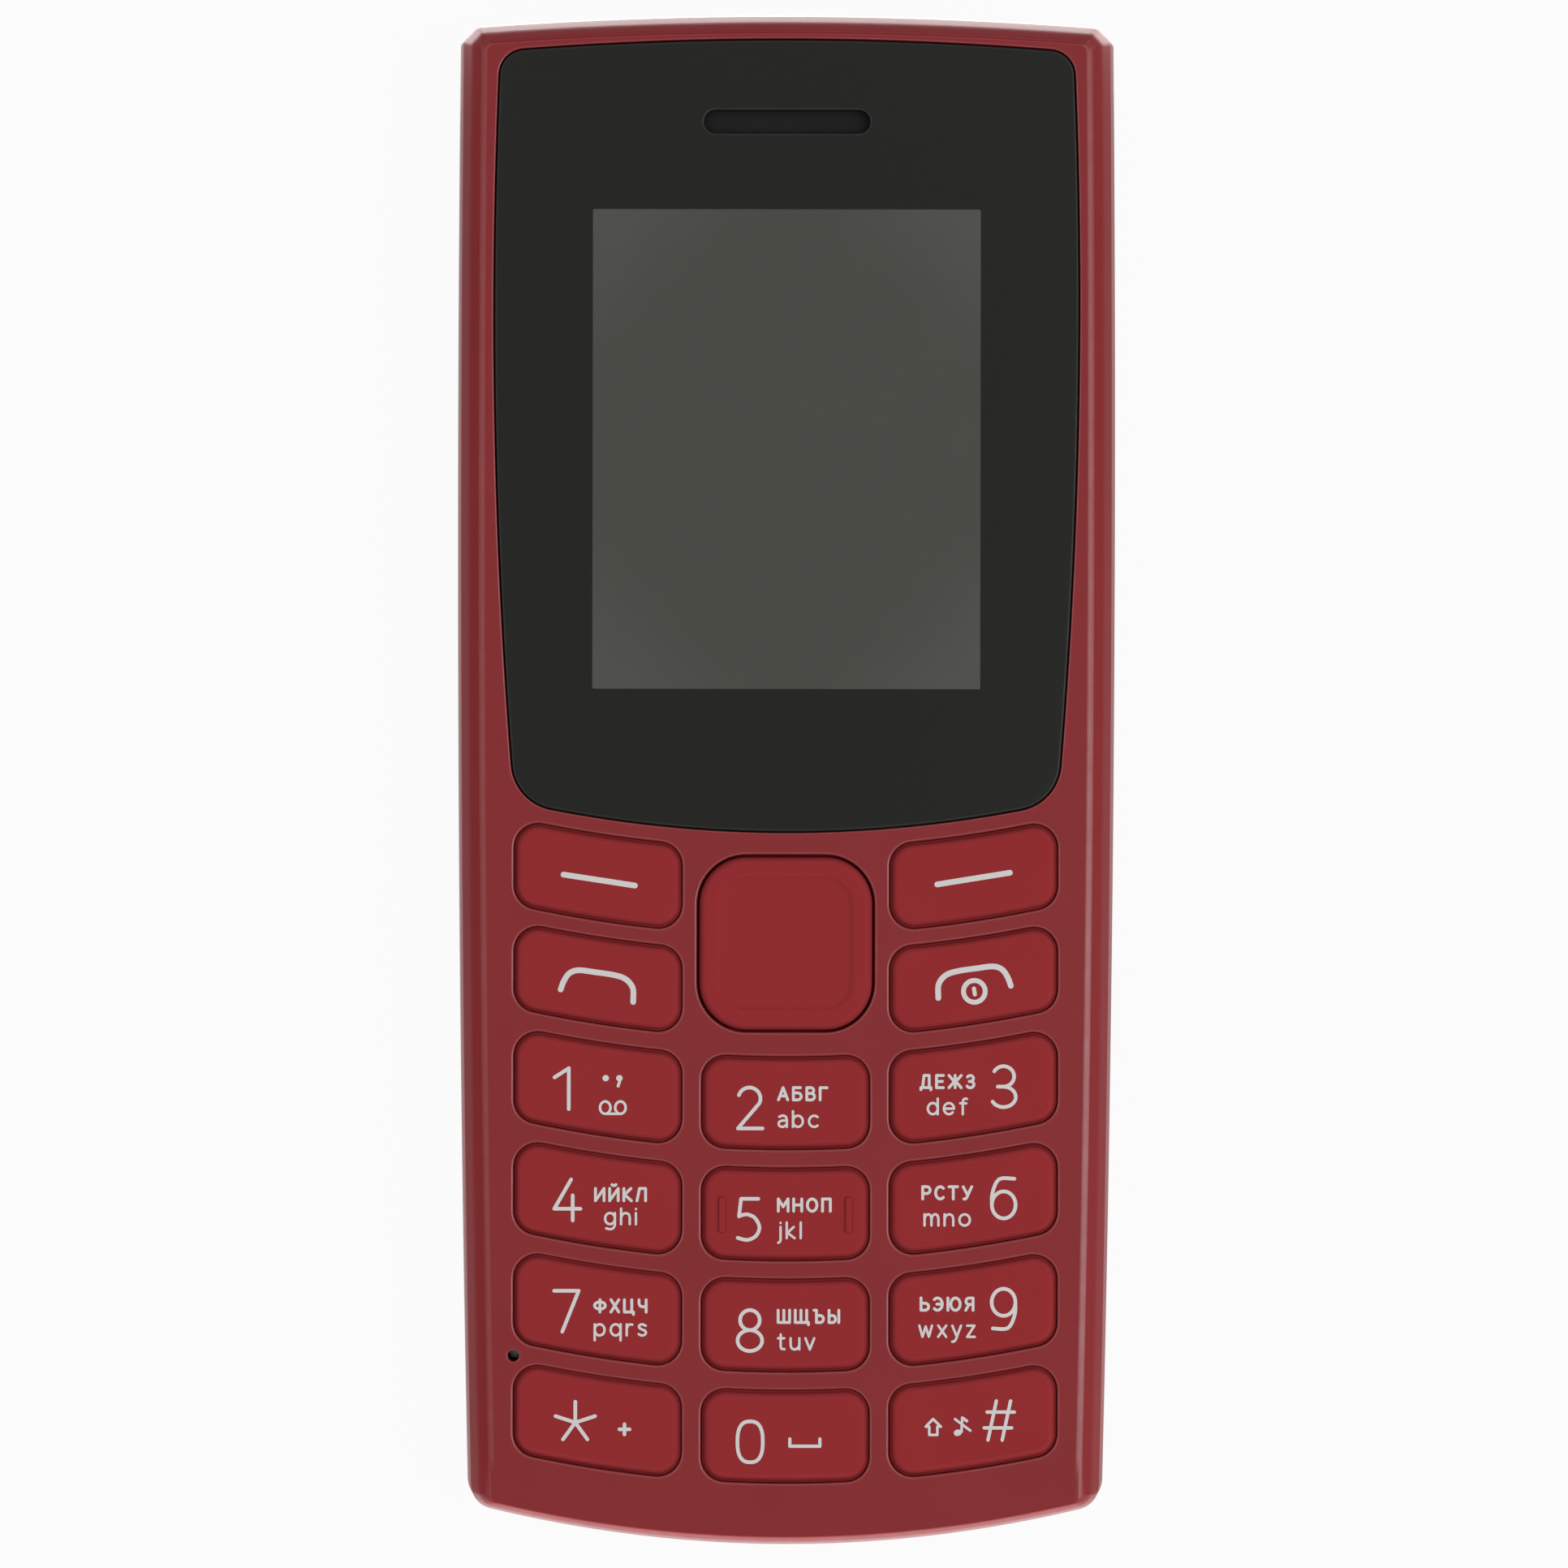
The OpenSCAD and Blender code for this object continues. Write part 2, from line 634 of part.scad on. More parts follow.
module rear_cover() {
    turns = [0, 30, 60, 90];
    inner_round = back_round - cover_t;
    inner_round_h = back_round_h - cover_t;
    color(housing_red) {
        difference() {
            loft(concat([for (a = turns) inset(body_arcs, back_round * (1 - sin(a)))],
                    [inset(body_arcs, seam_draft - seam_gap / 2)]),
                concat([for (a = turns) back_round_h * (1 - cos(a))], [seam_z]));
            loft(concat([for (a = turns) inset(body_arcs, cover_t + inner_round * (1 - sin(a)))],
                    [inset(body_arcs, cover_t + seam_draft - seam_gap / 2)]),
                concat([for (a = turns) cover_t + inner_round_h * (1 - cos(a))], [seam_z + over]));
            for (k = [0:grille_slots - 1])
                slot(0, speaker_y + (k - (grille_slots - 1) / 2) * grille_pitch, -over,
                    grille_l, grille_w, cover_t + 2 * over);
            lying(-jack_x, jack_mouth, body_l / 2 + over, jack_z, jack_r + socket_gap);
            lying(0, torch_mouth - over, body_l / 2 + over, torch_z, torch_r + slip);
            block(0, -body_l / 2 - over, usb_z - socket_gap, usb_w + 2 * socket_gap,
                usb_in + cover_t + 2 * over, seam_z - usb_z + 2 * over);
        }
        snap_tabs(0);
    }
}

// Outer form of the front housing: draft, slope, rounding and flat face
module front_form() {
    sides = [edge_side, edge_top, edge_bottom];
    broken = [for (e = sides) e - edge_round];
    loft([inset(body_arcs, seam_draft), inset(body_arcs, skirt_draft),
            outline(body_arcs, broken[0], broken[1], broken[2]),
            outline(body_arcs, sides[0], sides[1], sides[2])],
        [seam_z + seam_gap, face_z - edge_h, face_z - edge_round, face_z]);
}

module front_housing() {
    color(housing_red) difference() {
        union() {
            difference() {
                front_form();
                slab(inset(body_arcs, hollow_in), seam_z - over, ceiling_z);
            }
            slab(inset(window_arcs, -window_gap - slip), deck_z, ceiling_z + over);
            at_screws() translate([0, 0, bay_z + bay_t + rest_gap])
                cylinder(r = boss_r, h = ceiling_z - bay_z - bay_t);
        }
        slab(inset(window_arcs, -window_gap), deck_top, face_z + over);
        block(0, view_y - view_h / 2, deck_z - over, view_w, view_h, deck_t + 2 * over);
        slot(0, slot_y, deck_z - over, slot_w, slot_h, deck_t + 2 * over);
        for (k = keys) slab(key_outline(k[1], k[2], 0), ceiling_z - over, face_z + over);
        slab(nav_outline(0), ceiling_z - over, face_z + over);
        translate([mic_x, mic_y, ceiling_z - over]) cylinder(r = mic_r, h = face_t + 2 * over);
        at_screws() translate([0, 0, bay_z + bay_t])
            cylinder(r = screw_r + rest_gap, h = screw_l - bay_t + over);
    }
}

module display_window() {
    color(smoke) difference() {
        slab(inset(window_arcs, 0), window_z, window_z + window_t);
        slot(0, slot_y, window_z - over, slot_w, slot_h, window_t + 2 * over);
    }
}

module window_tape() {
    color(black) difference() {
        slab(inset(window_arcs, slip), deck_top, window_z);
        block(0, view_y - view_h / 2, deck_top - over, view_w, view_h, tape_t + 2 * over);
        slot(0, slot_y, deck_top - over, slot_w + 4 * slip, slot_h + 4 * slip, tape_t + 2 * over);
    }
}

module earpiece_mesh() {
    color(steel) slot(0, slot_y, deck_top, slot_w + 3 * slip, slot_h + 3 * slip, tape_t - rest_gap);
}

// Number keys, soft keys, call and end keys
module key(column, row) {
    top = face_z + key_rise;
    color(key_red) {
        slab(key_outline(column, row, -flange_reach), flange_z, flange_z + flange_t);
        loft([for (d = edge_insets) key_outline(column, row, key_gap + d * key_round)],
            cap_heights(flange_z + flange_t / 2, top));
        translate(concat(key_middle(column, row), [plunger_z]))
            cylinder(r = plunger_r, h = flange_z - plunger_z + flange_t / 2);
        if (column == 0 && row == 3)
            for (s = [-1, 1]) block(s * ridge_pitch / 2, row_y(row) - ridge_l / 2, top - ridge_h,
                ridge_w, ridge_l, 2 * ridge_h);
    }
}

module nav_key() {
    top = face_z + nav_rise;
    color(key_red) {
        difference() {
            union() {
                slab(nav_outline(-flange_reach), nav_flange_z, nav_flange_z + nav_flange_t);
                loft([for (d = edge_insets) nav_outline(key_gap + d * key_round)],
                    cap_heights(nav_flange_z + nav_flange_t / 2, top));
            }
            translate([0, nav_y, top - nav_pad_depth]) linear_extrude(over)
                polygon(box_outline(nav_pad_w, nav_pad_w, nav_corner / 2));
        }
        for (a = [0:90:270]) translate([0, nav_y, post_z]) rotate(a) translate([post_out, 0, 0])
            cylinder(r = post_r, h = nav_flange_z + nav_flange_t / 2 - post_z);
    }
}

// Half-round pivot ridge along Y on top of a plate at a height
module pivot_ridge(l, plate_z, axis_z) {
    intersection() {
        lying(0, -l / 2, l / 2, axis_z, pivot_r);
        block(0, -l, plate_z, l, 2 * l, axis_z - plate_z + pivot_r);
    }
}

module nav_plate() {
    color(steel) translate([0, nav_y, 0]) {
        slab(box_outline(nav_plate_w, nav_plate_w, key_corner), nav_plate_z, nav_plate_z + nav_plate_t);
        pivot_ridge(nav_plate_w - 2 * key_corner, nav_plate_z, nav_flange_z - pivot_gap - pivot_r);
    }
}

module nav_plunger() {
    disc_r = nav_plate_w / 4;
    color(key_red) translate([0, nav_y, 0]) {
        translate([0, 0, plunger_z]) cylinder(r = disc_r, h = nav_plate_z - tilt_room / 2 - plunger_z);
        rotate(90) pivot_ridge(disc_r, plunger_z, nav_plate_z - pivot_gap - pivot_r);
    }
}

module keymat() {
    foot_z = board_top + film_t + rest_gap;
    color(key_red) {
        difference() {
            slab(block_outline(keymat_reach), keymat_z, keymat_z + keymat_t);
            for (k = keys) translate(concat(key_middle(k[1], k[2]), [keymat_z - over]))
                cylinder(r = plunger_r + slip, h = keymat_t + 2 * over);
            slab(nav_outline(-flange_reach - slip), keymat_z - over, keymat_z + keymat_t + over);
            translate([mic_x, mic_y, keymat_z - over])
                cylinder(r = mic_r + mic_boot_t + slip, h = keymat_t + 2 * over);
        }
        for (s = [-1, 1]) for (row = [2:4])
            translate([s * column_pitch / 2, (row_y(row) + row_y(row + 1)) / 2, foot_z])
                cylinder(r = foot_r, h = keymat_z + keymat_t / 2 - foot_z);
    }
}

// Places of the keypad lights, between the columns
module at_lights() {
    for (s = [-1, 1]) for (row = [2:5])
        translate([s * column_pitch / 2, row_y(row), board_top]) children();
}

module dome_sheet() {
    color([0.85, 0.85, 0.8]) difference() {
        slab(block_outline(-slip), board_top, board_top + film_t);
        at_lights() translate([0, 0, -over]) cylinder(r = light_l / 2 + slip, h = film_t + 2 * over);
        translate([mic_x - mic_w, mic_y - mic_l / 2 - slip, board_top - over])
            cube([2 * mic_w, mic_l + 2 * slip, film_t + 2 * over]);
    }
}

module key_domes() {
    nav_domes = concat([[0, nav_y]], [for (a = [0:90:270]) [0, nav_y] + post_out * [cos(a), sin(a)]]);
    color(steel) for (p = concat([for (k = keys) key_middle(k[1], k[2])], nav_domes))
        translate([p[0], p[1], board_top + film_t]) cylinder(r1 = dome_r, r2 = dome_crown_r, h = dome_h);
}

module keypad_lights() {
    color([0.95, 0.95, 0.85]) at_lights()
        translate([-light_w / 2, -light_l / 2, 0]) cube([light_w, light_l, light_h]);
}

module main_board() {
    color(board_green) difference() {
        slab(inset(body_arcs, board_in), board_z, board_top);
        at_screws() translate([0, 0, board_z - over]) cylinder(r = boss_r + slip, h = board_t + 2 * over);
    }
}

module lcd_frame() {
    top = deck_z - tape_t;
    color([0.9, 0.9, 0.9]) difference() {
        block(0, view_y - lcd_l / 2, board_top, lcd_w, lcd_l, top - board_top);
        block(0, view_y - lcd_l / 2 + lcd_wall, top - lcd_glass_t, lcd_w - 2 * lcd_wall,
            lcd_l - 2 * lcd_wall, lcd_glass_t + over);
    }
}

module lcd_glass() {
    play = lcd_wall + rest_gap;
    color([0.3, 0.3, 0.28]) block(0, view_y - lcd_l / 2 + play, deck_z - tape_t - lcd_glass_t + rest_gap,
        lcd_w - 2 * play, lcd_l - 2 * play, lcd_glass_t - rest_gap);
}

module lcd_gasket() {
    color(black) difference() {
        block(0, view_y - lcd_l / 2 + slip, deck_z - tape_t, lcd_w - 2 * slip, lcd_l - 2 * slip,
            tape_t - rest_gap);
        block(0, view_y - view_h / 2, deck_z - tape_t - over, view_w, view_h, tape_t + 2 * over);
    }
}

module lcd_flex() {
    color([0.75, 0.5, 0.2]) block(0, view_y - lcd_l / 2 - flex_l, board_top, flex_w, flex_l, flex_t);
}

module earpiece() {
    color(steel) block(0, slot_y - earpiece_h / 2, board_top, earpiece_w, earpiece_h, earpiece_t);
}

module earpiece_boot() {
    from = board_top + earpiece_t;
    color(black) difference() {
        block(0, slot_y - earpiece_h / 2, from, earpiece_w, earpiece_h, deck_z - from - rest_gap);
        slot(0, slot_y, from - over, slot_w + slip, slot_h + slip, deck_z - from + 2 * over);
    }
}

module loudspeaker() {
    color(black) {
        translate([0, speaker_y, speaker_z]) cylinder(r = speaker_r, h = speaker_t);
        translate([0, speaker_y, speaker_z - slip]) cylinder(r = diaphragm_r, h = slip + over);
    }
}

module loudspeaker_gasket() {
    color([0.15, 0.15, 0.15]) translate([0, speaker_y, battery_z]) difference() {
        cylinder(r = speaker_r + slip + cup_t, h = gasket_t);
        translate([0, 0, -over]) cylinder(r = speaker_r + slip + cup_t - gasket_w, h = gasket_t + 2 * over);
    }
}

module microphone() {
    color(steel) translate([mic_x - mic_w / 2, mic_y - mic_l / 2, board_top]) cube([mic_w, mic_l, mic_h]);
}

module microphone_boot() {
    from = board_top + mic_h + rest_gap;
    color(black) translate([mic_x, mic_y, from]) difference() {
        cylinder(r = mic_r + mic_boot_t, h = ceiling_z - from - rest_gap);
        translate([0, 0, -over]) cylinder(r = mic_r, h = ceiling_z - from + 2 * over);
    }
}

module vibration_motor() {
    color(steel) translate([motor_x, motor_y, bay_z - rest_gap - motor_t]) cylinder(r = motor_r, h = motor_t);
}

module shield_can() {
    y = battery_top - shield_l - 2 * slip;
    h = parts_h - slip / 2;
    color(steel) difference() {
        block(0, y, board_z - h, shield_w, shield_l, h);
        block(0, y + sheet_t, board_z - h + sheet_t, shield_w - 2 * sheet_t, shield_l - 2 * sheet_t, h);
    }
}

// Places of the two card holders
module at_sims() {
    for (s = [-1, 1]) translate([s * (sim_w / 2 + slip), battery_y - battery_l / 2 + sim_up, 0]) children();
}

module sim_holders() {
    h = parts_h - slip / 2;
    color(steel) at_sims() difference() {
        block(0, 0, board_z - h, sim_w, sim_l, h);
        block(0, sheet_t, board_z - h + sheet_t, sim_w - 4 * sheet_t, sim_l, sim_slot);
    }
}

module battery_connector() {
    z = contact_z - contact_h / 2 - slip;
    color(black) block(contact_x, connector_y, z, connector_w, connector_l, board_z - z);
}

module at_contacts() {
    for (k = [-1:1]) translate([contact_x + k * contact_pitch, 0, contact_z]) children();
}

module battery_springs() {
    r = connector_gap - slip / 2;
    color(gold) at_contacts() intersection() {
        translate([-contact_w / 4, connector_y, 0]) rotate([0, 90, 0]) cylinder(r = r, h = contact_w / 2);
        translate([-contact_w / 2, connector_y - 2 * r, -r]) cube([contact_w, 2 * r, 2 * r]);
    }
}

module battery() {
    color([0.2, 0.22, 0.25]) difference() {
        translate([0, battery_y, battery_z]) linear_extrude(battery_h)
            polygon(box_outline(battery_w, battery_l, battery_corner));
        at_contacts() translate([-contact_w / 2, battery_top - contact_t, -contact_h / 2])
            cube([contact_w, contact_t + over, contact_h]);
    }
}

module battery_terminals() {
    color(gold) at_contacts() translate([-contact_w / 2, battery_top - contact_t, -contact_h / 2])
        cube([contact_w, contact_t, contact_h]);
}

// Section of the micro-USB socket, seen from its mouth, moved in by a wall
module usb_section(d) {
    w = usb_w / 2 - d;
    h = usb_h - 2 * d;
    polygon([[-w, h], [-w, usb_slope], [usb_slope - w, 0], [w - usb_slope, 0], [w, usb_slope], [w, h]]);
}

module micro_usb_socket() {
    color(steel) translate([0, usb_mouth + usb_l, usb_z]) rotate([90, 0, 0]) difference() {
        linear_extrude(usb_l) usb_section(0);
        translate([0, usb_wall, usb_wall]) linear_extrude(usb_l) usb_section(usb_wall);
    }
}

module usb_tongue() {
    color(black) block(0, usb_mouth + usb_l - usb_wall - tongue_l, usb_z + usb_h / 2,
        tongue_w, tongue_l, tongue_t);
}

module headset_jack() {
    l = jack_depth + jack_end;
    color(black) difference() {
        block(-jack_x, jack_mouth - l, jack_z - jack_h / 2, jack_w, l, jack_h);
        lying(-jack_x, jack_mouth - jack_depth, jack_mouth + over, jack_z, jack_r);
    }
}

module torch_led() {
    h = board_z - torch_z + led_w / 2;
    color([0.95, 0.9, 0.6]) block(0, torch_mouth - torch_l - slip - led_w, board_z - h, led_w, led_w, h);
}

module torch_lens() {
    color([0.9, 0.9, 0.9]) lying(0, torch_mouth - torch_l, torch_mouth, torch_z, torch_r);
}

module antenna() {
    w = carrier_w - 2 * antenna_in;
    l = carrier_l - 2 * antenna_in;
    y = carrier_top - carrier_l + antenna_in;
    color(gold) difference() {
        block(0, y, carrier_z - antenna_t, w, l, antenna_t);
        block(-arm_w, y + arm_w, carrier_z - over, w, l - 2 * arm_w, 2 * over);
    }
}

module rear_housing() {
    bay_w = battery_w + 2 * battery_gap;
    bay_l = battery_l + 2 * battery_gap;
    color(inner_grey) difference() {
        union() {
            slab(inset(body_arcs, plate_in), bay_z, bay_z + bay_t);
            difference() {
                slab(inset(body_arcs, rim_in), bay_z, rim_top);
                slab(inset(body_arcs, rim_in + rim_t), bay_z + bay_t, rim_top + over);
            }
            difference() {
                block(0, battery_y - bay_l / 2 - bay_wall, bay_wall_z, bay_w + 2 * bay_wall,
                    bay_l + 2 * bay_wall, bay_z - bay_wall_z + bay_t / 2);
                block(0, battery_y - bay_l / 2, bay_wall_z - over, bay_w, bay_l, bay_z - bay_wall_z + over);
            }
            difference() {
                block(0, carrier_top - carrier_l, carrier_z, carrier_w, carrier_l,
                    bay_z - carrier_z + bay_t / 2);
                block(0, carrier_top - carrier_l + bay_wall, carrier_z + bay_wall, carrier_w - 2 * bay_wall,
                    carrier_l - 2 * bay_wall, bay_z - carrier_z - bay_wall);
            }
            cup(0, speaker_y, speaker_r, battery_z + gasket_t + rest_gap);
            cup(motor_x, motor_y, motor_r, bay_z - motor_t);
        }
        at_screws() translate([0, 0, bay_z - over]) cylinder(r = screw_r + slip / 2, h = bay_t + 2 * over);
        at_screws() translate([0, 0, bay_z + bay_t]) cylinder(r = boss_r + slip, h = rim_top);
        block(-jack_x, jack_mouth - jack_depth - jack_end - socket_gap, bay_z - over, jack_w + 2 * socket_gap,
            body_l, rim_top);
        lying(0, torch_mouth - torch_l - slip, body_l / 2, torch_z, torch_r + slip / 2);
        block(0, torch_mouth - torch_l - 2 * slip - led_w, bay_z - over,
            led_w + 2 * slip, led_w + 2 * slip, rim_top);
        block(0, usb_mouth - over, usb_z - socket_gap,
            usb_w + 2 * socket_gap, usb_l + socket_gap + over, rim_top);
        at_sims() block(0, slip, bay_z - over, sim_w - 4 * sheet_t, sim_l - 4 * slip, bay_t + 2 * over);
        block(contact_x, battery_top, bay_wall_z - over, connector_w + 2 * slip,
            connector_gap + connector_l + slip, rim_top);
        snap_tabs(slip / 2);
    }
}

// Open ring under the plate around a round piece
module cup(x, y, r, from) {
    translate([x, y, from]) difference() {
        cylinder(r = r + slip + cup_t, h = bay_z - from + bay_t / 2);
        translate([0, 0, -over]) cylinder(r = r + slip, h = bay_z - from + over);
    }
}

module housing_screws() {
    color(steel) at_screws() translate([0, 0, bay_z - rest_gap]) {
        translate([0, 0, -screw_head_h]) cylinder(r = screw_head_r, h = screw_head_h);
        cylinder(r = screw_r, h = screw_l);
    }
}

rear_cover();
front_housing();
display_window();
window_tape();
earpiece_mesh();
rear_housing();
housing_screws();
main_board();
lcd_frame();
lcd_glass();
lcd_gasket();
lcd_flex();
nav_key();
nav_plate();
nav_plunger();
keymat();
dome_sheet();
key_domes();
keypad_lights();
earpiece();
earpiece_boot();
loudspeaker();
loudspeaker_gasket();
microphone();
microphone_boot();
vibration_motor();
shield_can();
sim_holders();
battery_connector();
battery_springs();
micro_usb_socket();
usb_tongue();
headset_jack();
torch_led();
torch_lens();
antenna();
battery();
battery_terminals();
for (k = keys) key(k[1], k[2]);
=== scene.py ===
import json
import math

import bmesh
import bpy
import numpy as np
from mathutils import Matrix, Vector
from mathutils.geometry import delaunay_2d_cdt


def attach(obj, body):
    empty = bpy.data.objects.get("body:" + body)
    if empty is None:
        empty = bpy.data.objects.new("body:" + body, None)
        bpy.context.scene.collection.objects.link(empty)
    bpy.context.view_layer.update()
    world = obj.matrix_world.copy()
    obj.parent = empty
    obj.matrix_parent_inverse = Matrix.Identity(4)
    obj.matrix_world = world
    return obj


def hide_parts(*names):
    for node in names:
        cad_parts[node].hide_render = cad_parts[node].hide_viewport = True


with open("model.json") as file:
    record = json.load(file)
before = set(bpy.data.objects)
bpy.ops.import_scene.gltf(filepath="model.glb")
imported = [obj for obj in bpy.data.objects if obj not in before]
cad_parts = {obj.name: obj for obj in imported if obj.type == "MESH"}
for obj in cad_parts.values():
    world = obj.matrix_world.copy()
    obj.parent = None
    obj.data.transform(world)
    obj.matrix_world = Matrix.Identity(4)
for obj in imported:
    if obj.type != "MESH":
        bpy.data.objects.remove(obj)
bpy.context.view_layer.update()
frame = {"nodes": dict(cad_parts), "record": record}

mm = 0.001  # shapes are worked out in millimetres and put into the meshes in metres
merged = 1e-6  # points of a mesh closer than this, in metres, become one
print("frame loaded:", len(frame["nodes"]), "nodes")


# Outlines. An edge is a shallow parabola: its place plus its bend times the squared distance from its middle.
def edgeAt(edge, t):
    return edge[0] + edge[2] * (t - edge[1]) ** 2


def edgeSlope(edge, t):
    return 2 * edge[2] * (t - edge[1])


# A corner is an arc that touches a side edge, which runs along Y, and a cross edge, which runs along X. Its middle
# is stepped in by the radius from both edges until it settles. A chamfer pulls the two halves of the arc apart
# along the edges.
def cornerArc(side, sideSign, cross, crossSign, radius, chamfer, steps, settle=12):
    y = edgeAt(cross, side[0])
    x = edgeAt(side, y)
    for turn in range(settle):
        x = edgeAt(side, y) - sideSign * radius * math.hypot(1, edgeSlope(side, y))
        y = edgeAt(cross, x) - crossSign * radius * math.hypot(1, edgeSlope(cross, x))
    sideDir = np.array([edgeSlope(side, y), 1.0])
    crossDir = np.array([1.0, edgeSlope(cross, x)])
    sideDir /= np.linalg.norm(sideDir)
    crossDir /= np.linalg.norm(crossDir)
    start = math.atan2(-sideSign * sideDir[0], sideSign * sideDir[1])
    end = math.atan2(crossSign * crossDir[0], -crossSign * crossDir[1])
    sweep = (end - start + math.pi) % (2 * math.pi) - math.pi
    middle = np.array([x, y])
    if chamfer == 0:
        angles = start + sweep * np.linspace(0, 1, 2 * steps + 1)
        return middle + radius * np.stack([np.cos(angles), np.sin(angles)], 1)
    angles = start + sweep * np.concatenate([np.linspace(0, 0.5, steps + 1), np.linspace(0.5, 1, steps + 1)])
    points = middle + radius * np.stack([np.cos(angles), np.sin(angles)], 1)
    points[:steps + 1] -= crossSign * chamfer * sideDir
    points[steps + 1:] -= sideSign * chamfer * crossDir
    return points


# Closed outline of four edges, counter-clockwise from the upper right corner: each edge is sampled evenly
# between the corner arcs at its two ends.
def outline(left, right, bottom, top, radii, edgeSteps, cornerSteps, chamfer=0):
    topRadius, bottomRadius = radii
    rightTop = cornerArc(right, 1, top, 1, topRadius, chamfer, cornerSteps)
    leftTop = cornerArc(left, -1, top, 1, topRadius, chamfer, cornerSteps)[::-1]
    leftBottom = cornerArc(left, -1, bottom, -1, bottomRadius, 0, cornerSteps)
    rightBottom = cornerArc(right, 1, bottom, -1, bottomRadius, 0, cornerSteps)[::-1]
    share = np.linspace(0, 1, edgeSteps + 1)[1:-1]

    def across(edge, a, b):
        x = a[0] + (b[0] - a[0]) * share
        return np.stack([x, edgeAt(edge, x)], 1)

    def along(edge, a, b):
        y = a[1] + (b[1] - a[1]) * share
        return np.stack([edgeAt(edge, y), y], 1)

    return np.concatenate([rightTop, across(top, rightTop[-1], leftTop[0]),
                           leftTop, along(left, leftTop[-1], leftBottom[0]),
                           leftBottom, across(bottom, leftBottom[-1], rightBottom[0]),
                           rightBottom, along(right, rightBottom[-1], rightTop[0])])


# Bend of an edge that has the given radius.
def bendOf(radius):
    return 1 / (2 * radius)


# Rectangle about the Y axis with round corners.
def boxLoop(half, low, high, corner, edgeSteps, cornerSteps):
    return outline((-half, 0, 0), (half, 0, 0), (low, 0, 0), (high, 0, 0), (corner, corner), edgeSteps, cornerSteps)


# Slot with round ends: a circle whose right half and left half are pulled apart.
def slotLoop(x, y, width, height, steps=12):
    angles = np.concatenate([np.linspace(-0.5, 0.5, steps + 1), np.linspace(0.5, 1.5, steps + 1)]) * math.pi
    pull = np.repeat([1.0, -1.0], steps + 1) * (width - height) / 2
    return np.stack([x + pull + height / 2 * np.cos(angles), y + height / 2 * np.sin(angles)], 1)


def circleLoop(x, y, radius, steps=24):
    angles = np.linspace(0, 2 * math.pi, steps, endpoint=False)
    return np.stack([x + radius * np.cos(angles), y + radius * np.sin(angles)], 1)


def ring(loop, z):
    return np.column_stack([loop, np.broadcast_to(z, len(loop))])


# Path through corner points with each inner corner replaced by an arc that touches both legs.
def filletPath(points, radii, steps):
    points = np.array(points, float)
    path = [points[:1]]
    for at, before, after, radius in zip(points[1:-1], points[:-2], points[2:], radii):
        a = (before - at) / np.linalg.norm(before - at)
        b = (after - at) / np.linalg.norm(after - at)
        half = math.acos(np.clip(a @ b, -1, 1)) / 2
        reach = radius / math.tan(half)
        middle = at + (a + b) / np.linalg.norm(a + b) * radius / math.sin(half)
        first, last = at + a * reach - middle, at + b * reach - middle
        turn = math.pi - 2 * half
        share = np.linspace(0, 1, steps + 1)[:, None]
        path.append(middle + (np.sin((1 - share) * turn) * first + np.sin(share * turn) * last) / math.sin(turn))
    path.append(points[-1:])
    return np.concatenate(path)


# Surface between consecutive rings: each point joins the one with its number in the next ring.
def strip(rings, flip=False):
    rings = np.asarray(rings, float)
    count, around = rings.shape[:2]
    j = np.arange(around)
    k = np.arange(count - 1)[:, None]
    a, b = k * around + j, k * around + (j + 1) % around
    quads = np.stack([a, b, b + around, a + around], -1).reshape(-1, 4)
    return rings.reshape(-1, 3), (quads[:, ::-1] if flip else quads)


def insideLoop(points, loop):
    x, y = points[:, :1], points[:, 1:]
    x1, y1 = loop[:, 0], loop[:, 1]
    x2, y2 = np.roll(x1, -1), np.roll(y1, -1)
    crosses = (y1 > y) != (y2 > y)
    with np.errstate(divide="ignore", invalid="ignore"):
        at = x1 + (y - y1) / (y2 - y1) * (x2 - x1)
    return (crosses & (x < at)).sum(1) % 2 == 1


# Flat face inside one outline and outside its holes, as triangles that keep every outline edge.
def flatFace(outer, holes, z, down=False, epsilon=1e-7):
    loops = [outer] + list(holes)
    points = np.concatenate(loops)
    starts = np.cumsum([0] + [len(loop) for loop in loops[:-1]])
    edges = [(s + i, s + (i + 1) % len(loop)) for s, loop in zip(starts, loops) for i in range(len(loop))]
    found = delaunay_2d_cdt([Vector(p) for p in points], edges, [], 0, epsilon)
    flat = np.array([v[:] for v in found[0]])
    tris = np.array([f[:] for f in found[2]])
    corners = flat[tris]
    u, v = corners[:, 1] - corners[:, 0], corners[:, 2] - corners[:, 0]
    area = u[:, 0] * v[:, 1] - u[:, 1] * v[:, 0]
    tris[area < 0] = tris[area < 0][:, ::-1]
    middles = corners.mean(1)
    keep = insideLoop(middles, outer)
    for hole in holes:
        keep &= ~insideLoop(middles, hole)
    tris = tris[keep]
    return ring(flat, z), (tris[:, ::-1] if down else tris)


# Quarter round from level to upright: insets and drops of its points, as shares of its radius.
def quarterRound(steps):
    angles = np.linspace(0, math.pi / 2, steps + 1)
    return np.sin(angles), 1 - np.cos(angles)


# Closed plate: flat faces, upright walls and a small round on the upper edge. Its loop is a function of a growth
# in millimetres.
def plate(loop, low, high, edge, steps):
    shift, drop = quarterRound(steps)
    growths, levels = [*(edge * shift - edge), 0], [*(high - edge * drop), low]
    return [flatFace(loop(-edge), [], high), flatFace(loop(0), [], low, down=True),
            strip([ring(loop(g), z) for g, z in zip(growths, levels)], flip=True)]


